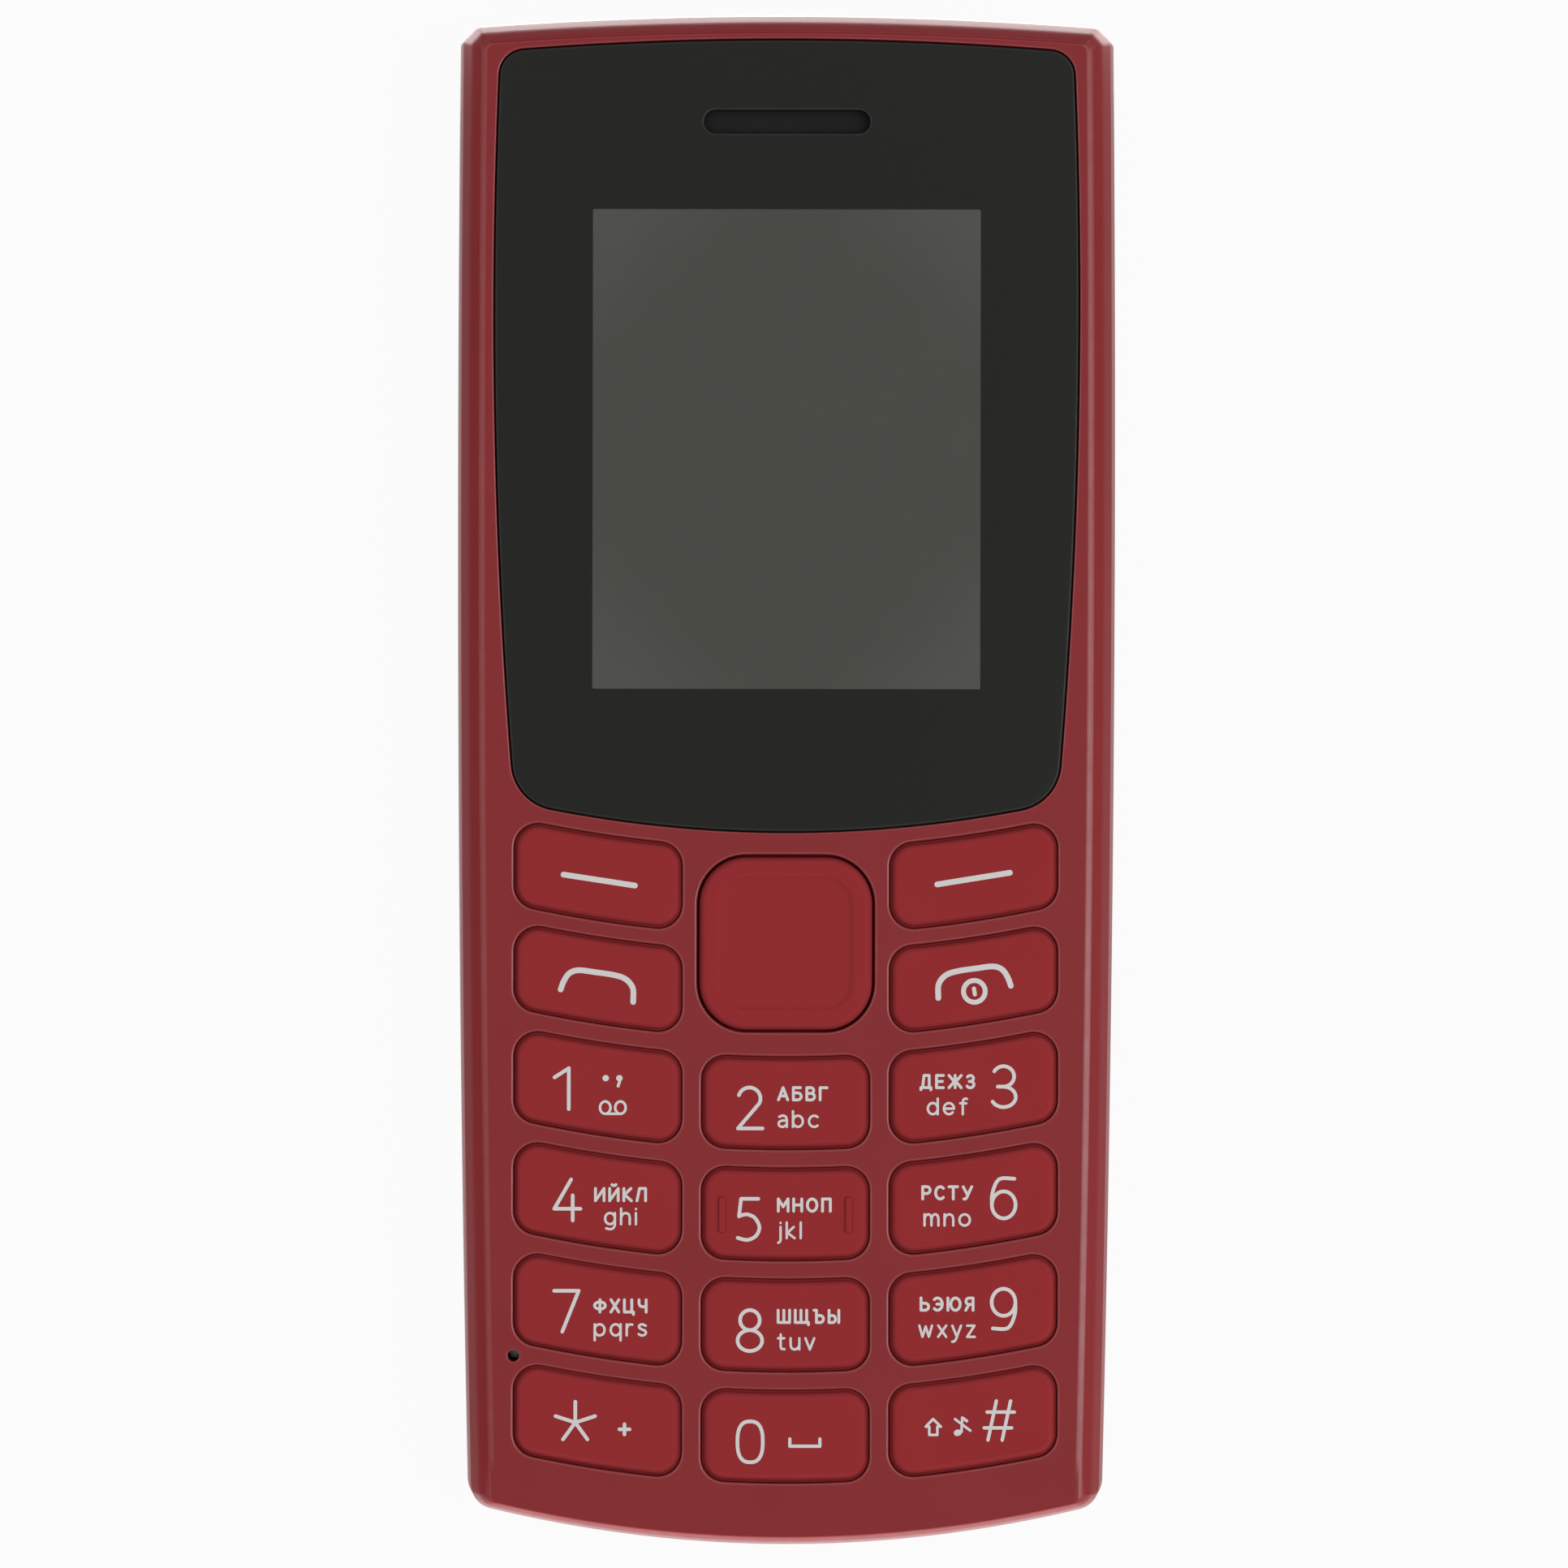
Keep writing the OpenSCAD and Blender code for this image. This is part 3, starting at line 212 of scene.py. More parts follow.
# Wall of an opening: a narrow support ring on the near face, a round edge, then upright to the growths at the far
# face. An outer wall is the same with its growth turned round.
def openingWall(loop, edge, support, near, far, ends=(0,), flip=False):
    shift, drop = quarterRound(4)
    growths = [edge + support, *(edge * (1 - shift)), *ends]
    levels = [near, *(near + np.sign(far - near) * edge * drop), *[far] * len(ends)]
    return strip([ring(loop(g), z) for g, z in zip(growths, levels)], flip)


def newObject(name, data):
    thing = bpy.data.objects.new(name, data)
    bpy.context.scene.collection.objects.link(thing)
    return thing


# Merges points that lie together. Normals can be turned outwards, and faces joined that bend less than an angle.
def cleaned(mesh, recalc=False, flat=None):
    bm = bmesh.new()
    bm.from_mesh(mesh)
    bmesh.ops.remove_doubles(bm, verts=bm.verts, dist=merged)
    if recalc:
        bmesh.ops.recalc_face_normals(bm, faces=bm.faces)
    if flat:
        bmesh.ops.dissolve_limit(bm, angle_limit=math.radians(flat), verts=bm.verts, edges=bm.edges)
    bm.to_mesh(mesh)
    bm.free()
    return mesh


# Joins mesh parts in millimetres to one mesh in metres and closes their shared edges.
def newMesh(name, parts, recalc=False):
    mesh = bpy.data.meshes.new(name)
    verts, faces, start = [], [], 0
    for points, cells in parts:
        verts.append(points)
        faces += (np.asarray(cells) + start).tolist()
        start += len(points)
    mesh.from_pydata((np.concatenate(verts) * mm).tolist(), [], faces)
    return cleaned(mesh, recalc)


# Mesh after one modifier, taken from a base object that is removed again.
def modified(mesh, kind, **settings):
    base = newObject("base", mesh)
    step = base.modifiers.new("step", kind)
    for key, value in settings.items():
        setattr(step, key, value)
    result = bpy.data.meshes.new_from_object(base.evaluated_get(bpy.context.evaluated_depsgraph_get()))
    bpy.data.objects.remove(base)
    return result


# Joins a solid to a mesh or cuts it out.
def combine(mesh, parts, operation):
    tool = newObject("tool", newMesh("tool", parts, recalc=True))
    result = modified(mesh, "BOOLEAN", operation=operation, solver="EXACT", object=tool)
    bpy.data.objects.remove(tool)
    return result


# Solid along the Y axis: a loop in X and Z at each of its places, closed by flat ends.
def acrossY(loops, places):
    rings = [np.insert(loop, 1, y, axis=1) for loop, y in zip(loops, places)]
    ends = [flatFace(loops[k], [], places[k]) for k in (0, -1)]
    return [strip(rings)] + [(points[:, [0, 2, 1]], faces) for points, faces in ends]


# One field of all items of a mesh, as rows of the given width.
def readAll(items, field, width, kind=float):
    values = np.zeros(len(items) * width, kind)
    items.foreach_get(field, values)
    return values.reshape(-1, width) if width > 1 else values


# Edge mask: how strongly the surface bends outwards at each vertex, which is the angle between
# neighbouring faces over the distance of their middles, as a share of a full bend of 1.25 per millimetre.
# This stands for wear. A function of the vertices' places can change it for one piece; on the front housing it
# becomes the mask of a painted highlight and painted sheen.
def addWearAndSheen(mesh, wearAndSheenAt=None, fullBend=1.25, least=1e-6):
    normals, middles = readAll(mesh.polygons, "normal", 3), readAll(mesh.polygons, "center", 3) / mm
    owner = np.repeat(np.arange(len(mesh.polygons)), readAll(mesh.polygons, "loop_total", 1, int))
    loopEdge = readAll(mesh.loops, "edge_index", 1, int)
    order = np.argsort(loopEdge, kind="stable")
    pair = np.flatnonzero(loopEdge[order[1:]] == loopEdge[order[:-1]])
    a, b, edge = owner[order[pair]], owner[order[pair + 1]], loopEdge[order[pair]]
    apart = middles[b] - middles[a]
    angle = np.arccos(np.clip((normals[a] * normals[b]).sum(1), -1, 1))
    bend = np.where((apart * normals[a]).sum(1) < 0, angle / np.maximum(np.linalg.norm(apart, axis=1), least), 0)
    wear = np.zeros(len(mesh.vertices))
    ends = readAll(mesh.edges, "vertices", 2, int)[edge]
    np.maximum.at(wear, ends.ravel(), np.repeat(bend / fullBend, 2))
    if wearAndSheenAt:
        wear = wearAndSheenAt(readAll(mesh.vertices, "co", 3) / mm, wear)
    layer = mesh.attributes.new("edgeWearSheenMask", "FLOAT", "POINT")
    layer.data.foreach_set("value", np.clip(wear, 0, 1))


# Piece on its body, shaded smooth up to a sharp angle in degrees. Its material is its slot's, or a finish of its own.
def finishPiece(name, mesh, body, slot, replaces, sharp, wearAndSheenAt=None, finish=None):
    addWearAndSheen(mesh, wearAndSheenAt)
    mesh.shade_smooth()
    mesh.set_sharp_from_angle(angle=math.radians(sharp))
    mesh.materials.append(materials[finish or slot])
    piece = newObject(name, mesh)
    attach(piece, body)
    if replaces:
        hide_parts(*replaces)


def makePiece(name, parts, body, slot, replaces=(), sharp=50, recalc=False, wearAndSheenAt=None, finish=None):
    finishPiece(name, newMesh(name, parts, recalc), body, slot, replaces, sharp, wearAndSheenAt, finish)


# Materials
def nodeTree(tree):
    def add(kind, inputs=None, **settings):
        node = tree.nodes.new("ShaderNode" + kind)
        for key, value in settings.items():
            setattr(node, key, value)
        for key, value in (inputs or {}).items():
            if isinstance(value, bpy.types.NodeSocket):
                tree.links.new(value, node.inputs[key])
            else:
                node.inputs[key].default_value = value
        return node
    return add


# Node tree of a material or a world, with the function that adds nodes to it.
def nodesOf(owner):
    owner.use_nodes = True
    return owner.node_tree, nodeTree(owner.node_tree)


# Value of a math node.
def reckon(add, operation, *values):
    return add("Math", dict(enumerate(values)), operation=operation).outputs[0]


def newGroup(name, inputs, outputs):
    group = bpy.data.node_groups.new(name, "ShaderNodeTree")
    for label, kind, value in inputs:
        group.interface.new_socket(label, in_out="INPUT", socket_type="NodeSocket" + kind).default_value = value
    for label, kind in outputs:
        group.interface.new_socket(label, in_out="OUTPUT", socket_type="NodeSocket" + kind)
    entry = group.nodes.new("NodeGroupInput")
    leave = group.nodes.new("NodeGroupOutput")
    return group, nodeTree(group), entry.outputs, leave.inputs


# Moulded grain: a fine noise gives the height of the grain and the spread of the gloss, and a coarse noise
# moves the colour a little lighter and darker.
def grainGroup(noiseMiddle=0.5, speckShare=0.35):
    group, add, given, result = newGroup("mouldedGrain", [
        ("Colour", "Color", (0.5, 0.5, 0.5, 1)), ("Grain Scale", "Float", 8000.0), ("Roughness", "Float", 0.5),
        ("Spread", "Float", 0.1), ("Tone", "Float", 0.08), ("Stretch", "Vector", (1, 1, 1))],
        [("Colour", "Color"), ("Roughness", "Float"), ("Height", "Float")])
    place = add("TexCoord").outputs["Object"]
    drawn = add("VectorMath", {0: place, 1: given["Stretch"]}, operation="MULTIPLY").outputs[0]
    fine = add("TexNoise", {"Vector": drawn, "Scale": given["Grain Scale"], "Detail": 3.0,
                            "Roughness": 0.6}).outputs["Fac"]
    coarse = add("TexNoise", {"Vector": place, "Scale": 160.0, "Detail": 2.0}).outputs["Fac"]
    mixed = reckon(add, "ADD", coarse, reckon(add, "MULTIPLY", fine, speckShare))
    centred = reckon(add, "SUBTRACT", mixed, noiseMiddle * (1 + speckShare))
    swing = reckon(add, "MULTIPLY_ADD", centred, given["Tone"], 1.0)
    colour = add("VectorMath", {0: given["Colour"], "Scale": swing}, operation="SCALE").outputs[0]
    off = reckon(add, "SUBTRACT", fine, noiseMiddle)
    rough = reckon(add, "MULTIPLY_ADD", off, given["Spread"], given["Roughness"])
    for label, value in (("Colour", colour), ("Roughness", rough), ("Height", fine)):
        group.links.new(value, result[label])
    return group


# Edge polish and painted light: where the edge mask attribute is high, broken up by a noise, colour and
# roughness go over to their edge values. These are wear on most pieces, a painted highlight on the housing and
# painted shade on the window.
def makeWearSheenGroup():
    group, add, given, result = newGroup("edgePolishAndSheen", [
        ("Colour", "Color", (0.5, 0.5, 0.5, 1)), ("Worn Colour", "Color", (0.6, 0.6, 0.6, 1)),
        ("Roughness", "Float", 0.5), ("Worn Roughness", "Float", 0.3), ("Amount", "Float", 0.5)],
        [("Colour", "Color"), ("Roughness", "Float"), ("Mask", "Float")])
    bend = add("Attribute", attribute_name="edgeWearSheenMask").outputs["Fac"]
    patch = add("TexNoise", {"Vector": add("TexCoord").outputs["Object"], "Scale": 900.0, "Detail": 3.0})
    broken = add("MapRange", {"Value": patch.outputs["Fac"], "From Min": 0.3, "From Max": 0.7,
                              "To Min": 0.75, "To Max": 1.0}).outputs[0]
    edge = add("MapRange", {"Value": bend, "From Min": 0.3, "From Max": 1.0},
               interpolation_type="SMOOTHSTEP").outputs[0]
    mask = reckon(add, "MULTIPLY", reckon(add, "MULTIPLY", edge, broken), given["Amount"])
    colour = add("Mix", {0: mask, 6: given["Colour"], 7: given["Worn Colour"]}, data_type="RGBA").outputs[2]
    rough = add("Mix", {0: mask, 2: given["Roughness"], 3: given["Worn Roughness"]}).outputs[0]
    for label, value in (("Colour", colour), ("Roughness", rough), ("Mask", mask)):
        group.links.new(value, result[label])
    return group


grain = grainGroup()
wearSheenGroup = makeWearSheenGroup()


# Material of moulded or coated surfaces: the grain group gives colour, roughness and bump, and the polish
# group moves the edges to their own colour and roughness: wear on most materials, painted light where noted.
# Where no edge colour is given, the colour fades a little.
fade = {"kept": 0.85, "added": 0.05}


def grainMaterial(name, colour, rough, scale, spread=0.12, tone=0.1, bump=0.12, depth=0.02,
                  wearAndSheenColour=None, wornRough=0.3, amount=0.3, coated=False, stretch=(1, 1, 1), **sockets):
    material = bpy.data.materials.new(name)
    tree, add = nodesOf(material)
    shader = tree.nodes["Principled BSDF"].inputs
    skin = add("Group", {"Colour": (*colour, 1), "Grain Scale": scale, "Roughness": rough, "Spread": spread,
                         "Tone": tone, "Stretch": stretch}, node_tree=grain).outputs
    relief = add("Bump", {"Height": skin["Height"], "Strength": bump, "Distance": depth * mm})
    wearAndSheenColour = wearAndSheenColour or [fade["kept"] * c + fade["added"] for c in colour]
    edges = add("Group", {"Colour": skin["Colour"], "Roughness": skin["Roughness"], "Worn Colour": (*wearAndSheenColour, 1),
                          "Worn Roughness": wornRough, "Amount": amount}, node_tree=wearSheenGroup).outputs
    tree.links.new(edges["Colour"], shader["Base Color"])
    tree.links.new(edges["Roughness"], shader["Roughness"])
    if coated:
        tree.links.new(edges["Mask"], shader["Coat Weight"])
    tree.links.new(relief.outputs["Normal"], shader["Normal"])
    for label, value in sockets.items():
        shader[label.replace("_", " ")].default_value = value
    material.diffuse_color = (*colour, 1)
    return material


materials = {
    # Housing red: its lighter wear colour on the edge mask is a painted highlight along the crease, the skirt and the
    # low end; the coat on that mask adds gloss there
    "housing_red": grainMaterial("housingRed", (0.235, 0.0215, 0.0250), 0.42, 7000, spread=0.16, tone=0.12,
                                 depth=0.008, wearAndSheenColour=(0.27, 0.038, 0.042), amount=0.85, coated=True,
                                 Specular_IOR_Level=0.16, Coat_Roughness=0.33),
    "key_red": grainMaterial("keyRed", (0.296, 0.0295, 0.0334), 0.5, 9000, spread=0.1, tone=0.08, bump=0.1,
                             depth=0.006, wearAndSheenColour=(0.31, 0.038, 0.042), wornRough=0.4, Specular_IOR_Level=0.0),
    "ink": grainMaterial("legendInk", (0.64, 0.62, 0.61), 0.5, 12000, spread=0.1, bump=0.1),
    # Smoked window: its darker wear colour on the edge mask is painted shade along the rims of the slot, the display
    # opening and the outline
    "smoked_window": grainMaterial("smokedWindow", (0.0085, 0.0085, 0.0065), 0.14, 9000, spread=0.03, tone=0.06,
                                   bump=0.01, depth=0.002, wearAndSheenColour=(0.004, 0.004, 0.004), wornRough=0.7, amount=1.0),
    "display_glass": grainMaterial("displayGlass", (0.0640, 0.0640, 0.055), 0.14, 6000, spread=0.03, tone=0.06,
                                   bump=0.01, depth=0.002),
    "inner_plastic": grainMaterial("innerPlastic", (0.028, 0.028, 0.031), 0.5, 7000),
    "black_plastic": grainMaterial("blackPlastic", (0.012, 0.012, 0.012), 0.42, 7000),
    "white_plastic": grainMaterial("whitePlastic", (0.72, 0.71, 0.68), 0.4, 5000),
    "clear_plastic": grainMaterial("clearPlastic", (0.75, 0.75, 0.72), 0.1, 3000, spread=0.04,
                                   Transmission_Weight=0.85),
    "foam": grainMaterial("foam", (0.02, 0.02, 0.02), 0.9, 3500, spread=0.1, tone=0.6, bump=0.8, depth=0.08),
    "silicone": grainMaterial("silicone", (0.28, 0.05, 0.05), 0.6, 5000),
    "board": grainMaterial("solderMask", (0.01, 0.085, 0.04), 0.3, 2500, spread=0.08, tone=0.3),
    "steel": grainMaterial("stampedSteel", (0.58, 0.58, 0.57), 0.34, 6000, spread=0.3, tone=0.2, bump=0.15,
                           depth=0.01, stretch=(1, 0.03, 1), Metallic=1.0),
    "gold": grainMaterial("goldPlate", (0.75, 0.53, 0.19), 0.28, 6000, Metallic=1.0),
    "film": grainMaterial("polyesterFilm", (0.62, 0.62, 0.55), 0.25, 4000),
    "mesh": grainMaterial("wovenMesh", (0.004, 0.004, 0.004), 0.6, 9000, spread=0.2, tone=0.8, bump=0.8,
                          depth=0.05, Specular_IOR_Level=0.2),
    "battery_wrap": grainMaterial("batteryWrap", (0.045, 0.05, 0.06), 0.38, 4000, spread=0.1, tone=0.2),
    "label": grainMaterial("batteryLabel", (0.42, 0.43, 0.44), 0.45, 6000, spread=0.1, tone=0.12, bump=0.1,
                           depth=0.01),
}
print("materials made:", len(materials))

# Body outline, as on the solids
body = {"half": 24.8, "widest": 22.05, "sideRadius": 3300.0, "end": 57.55, "topRadius": 309.0,
        "bottomRadius": 92.0, "corner": 0.5, "chamfer": 1.0, "chamferShare": 0.5, "leastChamfer": 0.04,
        "bottomCorner": 2.3, "leastCorner": 0.6}


# The outline set in from its sides, and from its two ends by the same way unless another is given
def bodyLoop(sideIn, topIn=None, bottomIn=None):
    topIn = sideIn if topIn is None else topIn
    bottomIn = sideIn if bottomIn is None else bottomIn
    half, bend = body["half"] - sideIn, bendOf(body["sideRadius"])
    return outline((-half, body["widest"], bend), (half, body["widest"], -bend),
                   (bottomIn - body["end"], 0, bendOf(body["bottomRadius"])),
                   (body["end"] - topIn, 0, -bendOf(body["topRadius"])),
                   (body["corner"], max(body["leastCorner"], body["bottomCorner"] - sideIn)), 36, 6,
                   max(body["leastChamfer"], body["chamfer"] - body["chamferShare"] * sideIn))


# Key openings: rows follow a shallow curve that rises away from the middle
keypad = {"width": 12.567, "pitch": 14.017, "rowRadius": 91.0, "corner": 1.8, "softHeight": 6.5, "height": 6.95,
          "rows": [-8.45, -16.15, -24.225, -32.525, -40.825, -49.125], "leastCorner": 0.3}
numberKeys = [*"123456789", "star", "0", "hash"]
keyPlaces = {"key_soft_left": (-1, 0), "key_soft_right": (1, 0), "key_call": (-1, 1), "key_end": (1, 1)}
keyPlaces.update({"key_" + name: (k % 3 - 1, 2 + k // 3) for k, name in enumerate(numberKeys)})


def keyHeight(row):
    return keypad["softHeight"] if row < 2 else keypad["height"]


# Middle and half size of a key's opening
def keyFrame(column, row):
    x = column * keypad["pitch"]
    middle = np.array([x, keypad["rows"][row] + x * x / (2 * keypad["rowRadius"])])
    return middle, np.array([keypad["width"], keyHeight(row)]) / 2


def keyLoop(column, row, grow):
    x, y = column * keypad["pitch"], keypad["rows"][row]
    w, h = keypad["width"] / 2 + grow, keyHeight(row) / 2 + grow
    bend = bendOf(keypad["rowRadius"])
    r = max(keypad["leastCorner"], keypad["corner"] + grow)
    return outline((x - w, 0, 0), (x + w, 0, 0), (y - h, 0, bend), (y + h, 0, bend), (r, r), 14, 5)


nav = {"y": -12.3, "size": 13.25, "corner": 3.7, "leastCorner": 0.5, "padStep": 1.4, "padWidth": 0.65,
       "padDepth": 0.2, "top": 14.5, "round": 0.55, "gap": 0.2, "flange": (11.9, 12.35), "reach": 0.3,
       "foot": (0.12, 13.25, 13.75)}


def navLoop(grow):
    h = nav["size"] / 2 + grow
    return boxLoop(h, nav["y"] - h, nav["y"] + h, max(nav["leastCorner"], nav["corner"] + grow), 12, 8)


window = {"half": 21.7, "widest": 35.05, "sideRadius": 430.0, "top": 55.05, "topRadius": 254.0, "bottom": -3.85,
          "corners": (1.8, 3.5), "leastCorner": 0.4, "gap": 0.1, "fill": 0.1, "low": 13.0, "high": 13.95,
          "edge": 0.12, "support": 0.05, "slot": (0.0, 49.05, 12.4, 1.7), "slotRound": 0.12}


def windowLoop(grow):
    grow = grow + window["fill"]
    half, bend = window["half"] + grow, bendOf(window["sideRadius"])
    return outline((-half, window["widest"], bend), (half, window["widest"], -bend),
                   (window["bottom"] - grow, 0, bendOf(keypad["rowRadius"])),
                   (window["top"] + grow, 0, -bendOf(window["topRadius"])),
                   tuple(max(window["leastCorner"], r + grow) for r in window["corners"]), 40, 6)


def slotHole(grow):
    x, y, width, height = window["slot"]
    return slotLoop(x, y, width + 2 * grow, height + 2 * grow)


# Front housing: a profile carried round the body outline, from the ceiling of the hollow down, out over the
# seam rim, up the skirt and the sloped edge and in to the flat face, with round-edged openings in the face.
# From the low end on, the last entries set where the housing's edges take a painted highlight and painted sheen
front = {"seam": 9.3, "seamIn": 0.03, "seamEdge": 0.12, "ceiling": 12.8, "face": 14.0, "hollow": 1.9,
         "crease": 12.2, "creaseIn": (0.42, 0.44, 0.2), "creaseRound": 0.35, "shoulder": (0.66, 1.06),
         "shoulderRound": 1.6, "faceIn": (2.0, 1.88, 0.92), "faceRound": 0.9, "faceRun": 1.5, "support": 0.04,
         "topShare": 0.3, "lowShare": 0.25, "openingRound": 0.16, "windowRound": 0.1,
         "mic": (-20.3, -43.11, 0.43), "micRound": 0.08, "lowEnd": -53.5, "highEnd": 50.0, "lowDepth": 0.05,
         "sheenDepth": 0.4, "sheenIn": (2.7, 2.3, 1.1), "skirtSheen": 0.6, "skirtSheenLean": 0.14, "topSheenShare": 1.5,
         "leftSheenShare": 0.75, "openingWearAndSheen": 0.45, "lowEndSheen": 0.95}


# Mask on the housing's edges, made of edge wear and painted light: a painted highlight where the slope meets the
# flat face, weaker on the left side and on the openings' rims, painted sheen on the skirt, stronger to the left and
# at the top end, and painted sheen over the low end
def creaseWearAndPaintedSheen(points, wear):
    x, y, z = points.T
    outer = ~insideLoop(points[:, :2], bodyLoop(*front["sheenIn"]))
    high = z > front["face"] - front["sheenDepth"]
    skirt = outer & (z < front["crease"] - front["creaseRound"])
    lowEnd = outer & (y < front["lowEnd"]) & (z < front["face"] - front["lowDepth"])
    paintedSkirtSheen = front["skirtSheen"] - front["skirtSheenLean"] * x / body["half"]
    paintedSkirtSheen *= np.where(y > front["highEnd"], front["topSheenShare"], 1)
    slope = np.where(x < 0, front["leftSheenShare"], 1.0) * (y > front["lowEnd"])
    kept = np.where(skirt, paintedSkirtSheen, wear * high * np.where(outer, slope, front["openingWearAndSheen"]))
    return np.where(lowEnd, front["lowEndSheen"], kept)


def frontHousing():
    face, ceiling, seam, seamIn = front["face"], front["ceiling"], front["seam"], front["seamIn"]
    creaseIn, faceIn = front["creaseIn"], front["faceIn"]
    skirt, slope = creaseIn[0], faceIn[0]
    path = filletPath([(seamIn, seam + front["seamEdge"]), (skirt, front["crease"]),
                       (skirt + front["shoulder"][0], front["crease"] + front["shoulder"][1]), (slope, face),
                       (slope + front["faceRun"], face)],
                      [front["creaseRound"], front["shoulderRound"], front["faceRound"]], 7)[:-1]
    rings = [ring(bodyLoop(front["hollow"]), z) for z in (ceiling, seam)]
    # The insets at the two ends follow the one at the sides, each at its own rate
    for inset, z in [(seamIn + front["seamEdge"], seam), *path, (path[-1, 0] + front["support"], face)]:
        topIn, bottomIn = (np.interp(inset, [seamIn, skirt, slope, slope + 1],
                                     [seamIn, creaseIn[end], faceIn[end], faceIn[end] + share])
                           for end, share in ((1, front["topShare"]), (2, front["lowShare"])))
        rings.append(ring(bodyLoop(inset, topIn, bottomIn), z))
    micX, micY, micRadius = front["mic"]
    openings = [(lambda g, place=place: keyLoop(*place, g), front["openingRound"]) for place in keyPlaces.values()]
    openings += [(navLoop, front["openingRound"]),
                 (lambda g: windowLoop(window["gap"] + g), front["windowRound"]),
                 (lambda g: circleLoop(micX, micY, micRadius + g), front["micRound"])]
    parts = [strip(rings)]
    parts += [openingWall(loop, edge, front["support"], face, ceiling) for loop, edge in openings]
    parts.append(flatFace(rings[-1][:, :2], [loop(edge + front["support"]) for loop, edge in openings], face))
    parts.append(flatFace(rings[0][:, :2], [loop(0) for loop, edge in openings], ceiling, down=True))
    # Its edge mask carries the housing's painted highlight and painted sheen
    makePiece("front_shell", parts, "phone_body", "housing_red", ["front_housing"], wearAndSheenAt=creaseWearAndPaintedSheen)


frontHousing()
print("front housing made")

# Window lens with its slot, and the display pane in its opening
display = {"width": 28.95, "height": 35.8, "y": 24.6, "low": 11.4, "corner": 0.15, "round": 0.01, "support": 0.04}


def paneLoop(grow):
    h = display["height"] / 2 + grow
    return boxLoop(display["width"] / 2 + grow, display["y"] - h, display["y"] + h, display["corner"], 2, 2)


def displayWindow():
    low, high, support = window["low"], window["high"], window["support"]
    edge, slotRound = window["edge"], window["slotRound"]
    pane, paneOut = paneLoop(0), paneLoop(display["support"])
    parts = [flatFace(windowLoop(-edge - support), [slotHole(slotRound + support), paneOut], high),
             flatFace(windowLoop(0), [slotHole(0), pane], low, down=True),
             openingWall(lambda g: windowLoop(-g), edge, support, high, low, flip=True),
             openingWall(slotHole, slotRound, support, high, low),
             strip([ring(paneOut, high), ring(pane, high), ring(pane, low)])]
    makePiece("window_lens", parts, "phone_body", "smoked_window", ["display_window"])
    makePiece("display_pane", plate(paneLoop, display["low"], high, display["round"], 1), "phone_body",
              "display_glass", ["lcd_glass"], sharp=40)


displayWindow()
print("display window made")

# Keys: a flange, an upright wall, a round upper edge and a slightly crowned top that closes in the middle.
# Ridges of key 5: distance from the middle, width and length, then shares of the width from the foot up and how far
# under the top each lies.
key = {"flange": (12.25, 12.75), "reach": 0.3, "gap": 0.2, "top": 14.32, "round": 0.5, "crown": 0.06,
       "foot": (0.03, 13.58, 13.9), "ridge": (4.725, 0.5, 2.7), "ridgeTop": 14.5,
       "ridgeShares": (1, 1, 0.92, 0.76, 0.45, 0), "ridgeDrops": (0.4, 0.07, 0.03, 0.01, 0.002, 0)}


# Side of a key: a flange that closes underneath, then a wall that is upright at the foot's gap and steps in along an
# S-shaped curve to the gap at the top, then a round up to the height that a function of the place gives
def keySide(loop, middle, sizes, heightAt, steps):
    low, high = sizes["flange"]
    near, stepLow, stepHigh = sizes["foot"]
    flange = loop(sizes["reach"])
    share = np.linspace(0, 1, 6)
    growths = -near - (sizes["gap"] - near) * share * share * (3 - 2 * share)
    levels = stepLow + (stepHigh - stepLow) * share
    rings = [ring(np.broadcast_to(middle, flange.shape), low), ring(flange, low), ring(flange, high),
             ring(loop(-near), high)] + [ring(loop(g), z) for g, z in zip(growths, levels)]
    for a in np.linspace(0, math.pi / 2, steps):
        edge = loop(-sizes["gap"] - sizes["round"] * (1 - math.cos(a)))
        rings.append(ring(edge, heightAt(edge) - sizes["round"] * (1 - math.sin(a))))
    return rings


def crownHeight(points, middle, half):
    share = ((points - middle) / half) ** 2
    return key["top"] - key["crown"] * share.sum(1) / 2


def keyParts(name, column, row):
    middle, half = keyFrame(column, row)

    def loopAt(grow):
        return keyLoop(column, row, grow)

    def heightAt(points):
        return crownHeight(points, middle, half)

    rings = keySide(loopAt, middle, key, heightAt, 8)
    inner = loopAt(-key["gap"] - key["round"])
    for share in np.linspace(1, 0, 9)[1:]:
        loop = middle + (inner - middle) * share
        rings.append(ring(loop, heightAt(loop)))
    parts = [strip(rings)]
    if name == "key_5":
        out, width, length = key["ridge"]
        levels = key["ridgeTop"] - np.array(key["ridgeDrops"])
        loops = [slotLoop(0, 0, length - width * (1 - s), width * s) for s in key["ridgeShares"]]
        for side in (-1, 1):
            turned = [np.stack([side * out + loop[:, 1], middle[1] - loop[:, 0]], 1)[::-1] for loop in loops]
            parts += [strip([ring(loop, z) for loop, z in zip(turned, levels)]),
                      flatFace(turned[0], [], levels[0], down=True)]
    return parts


def makeKeys():
    for name, (column, row) in keyPlaces.items():
        makePiece(name + "_cap", keyParts(name, column, row), name, "key_red", [name])


makeKeys()
print("keys made:", len(keyPlaces))


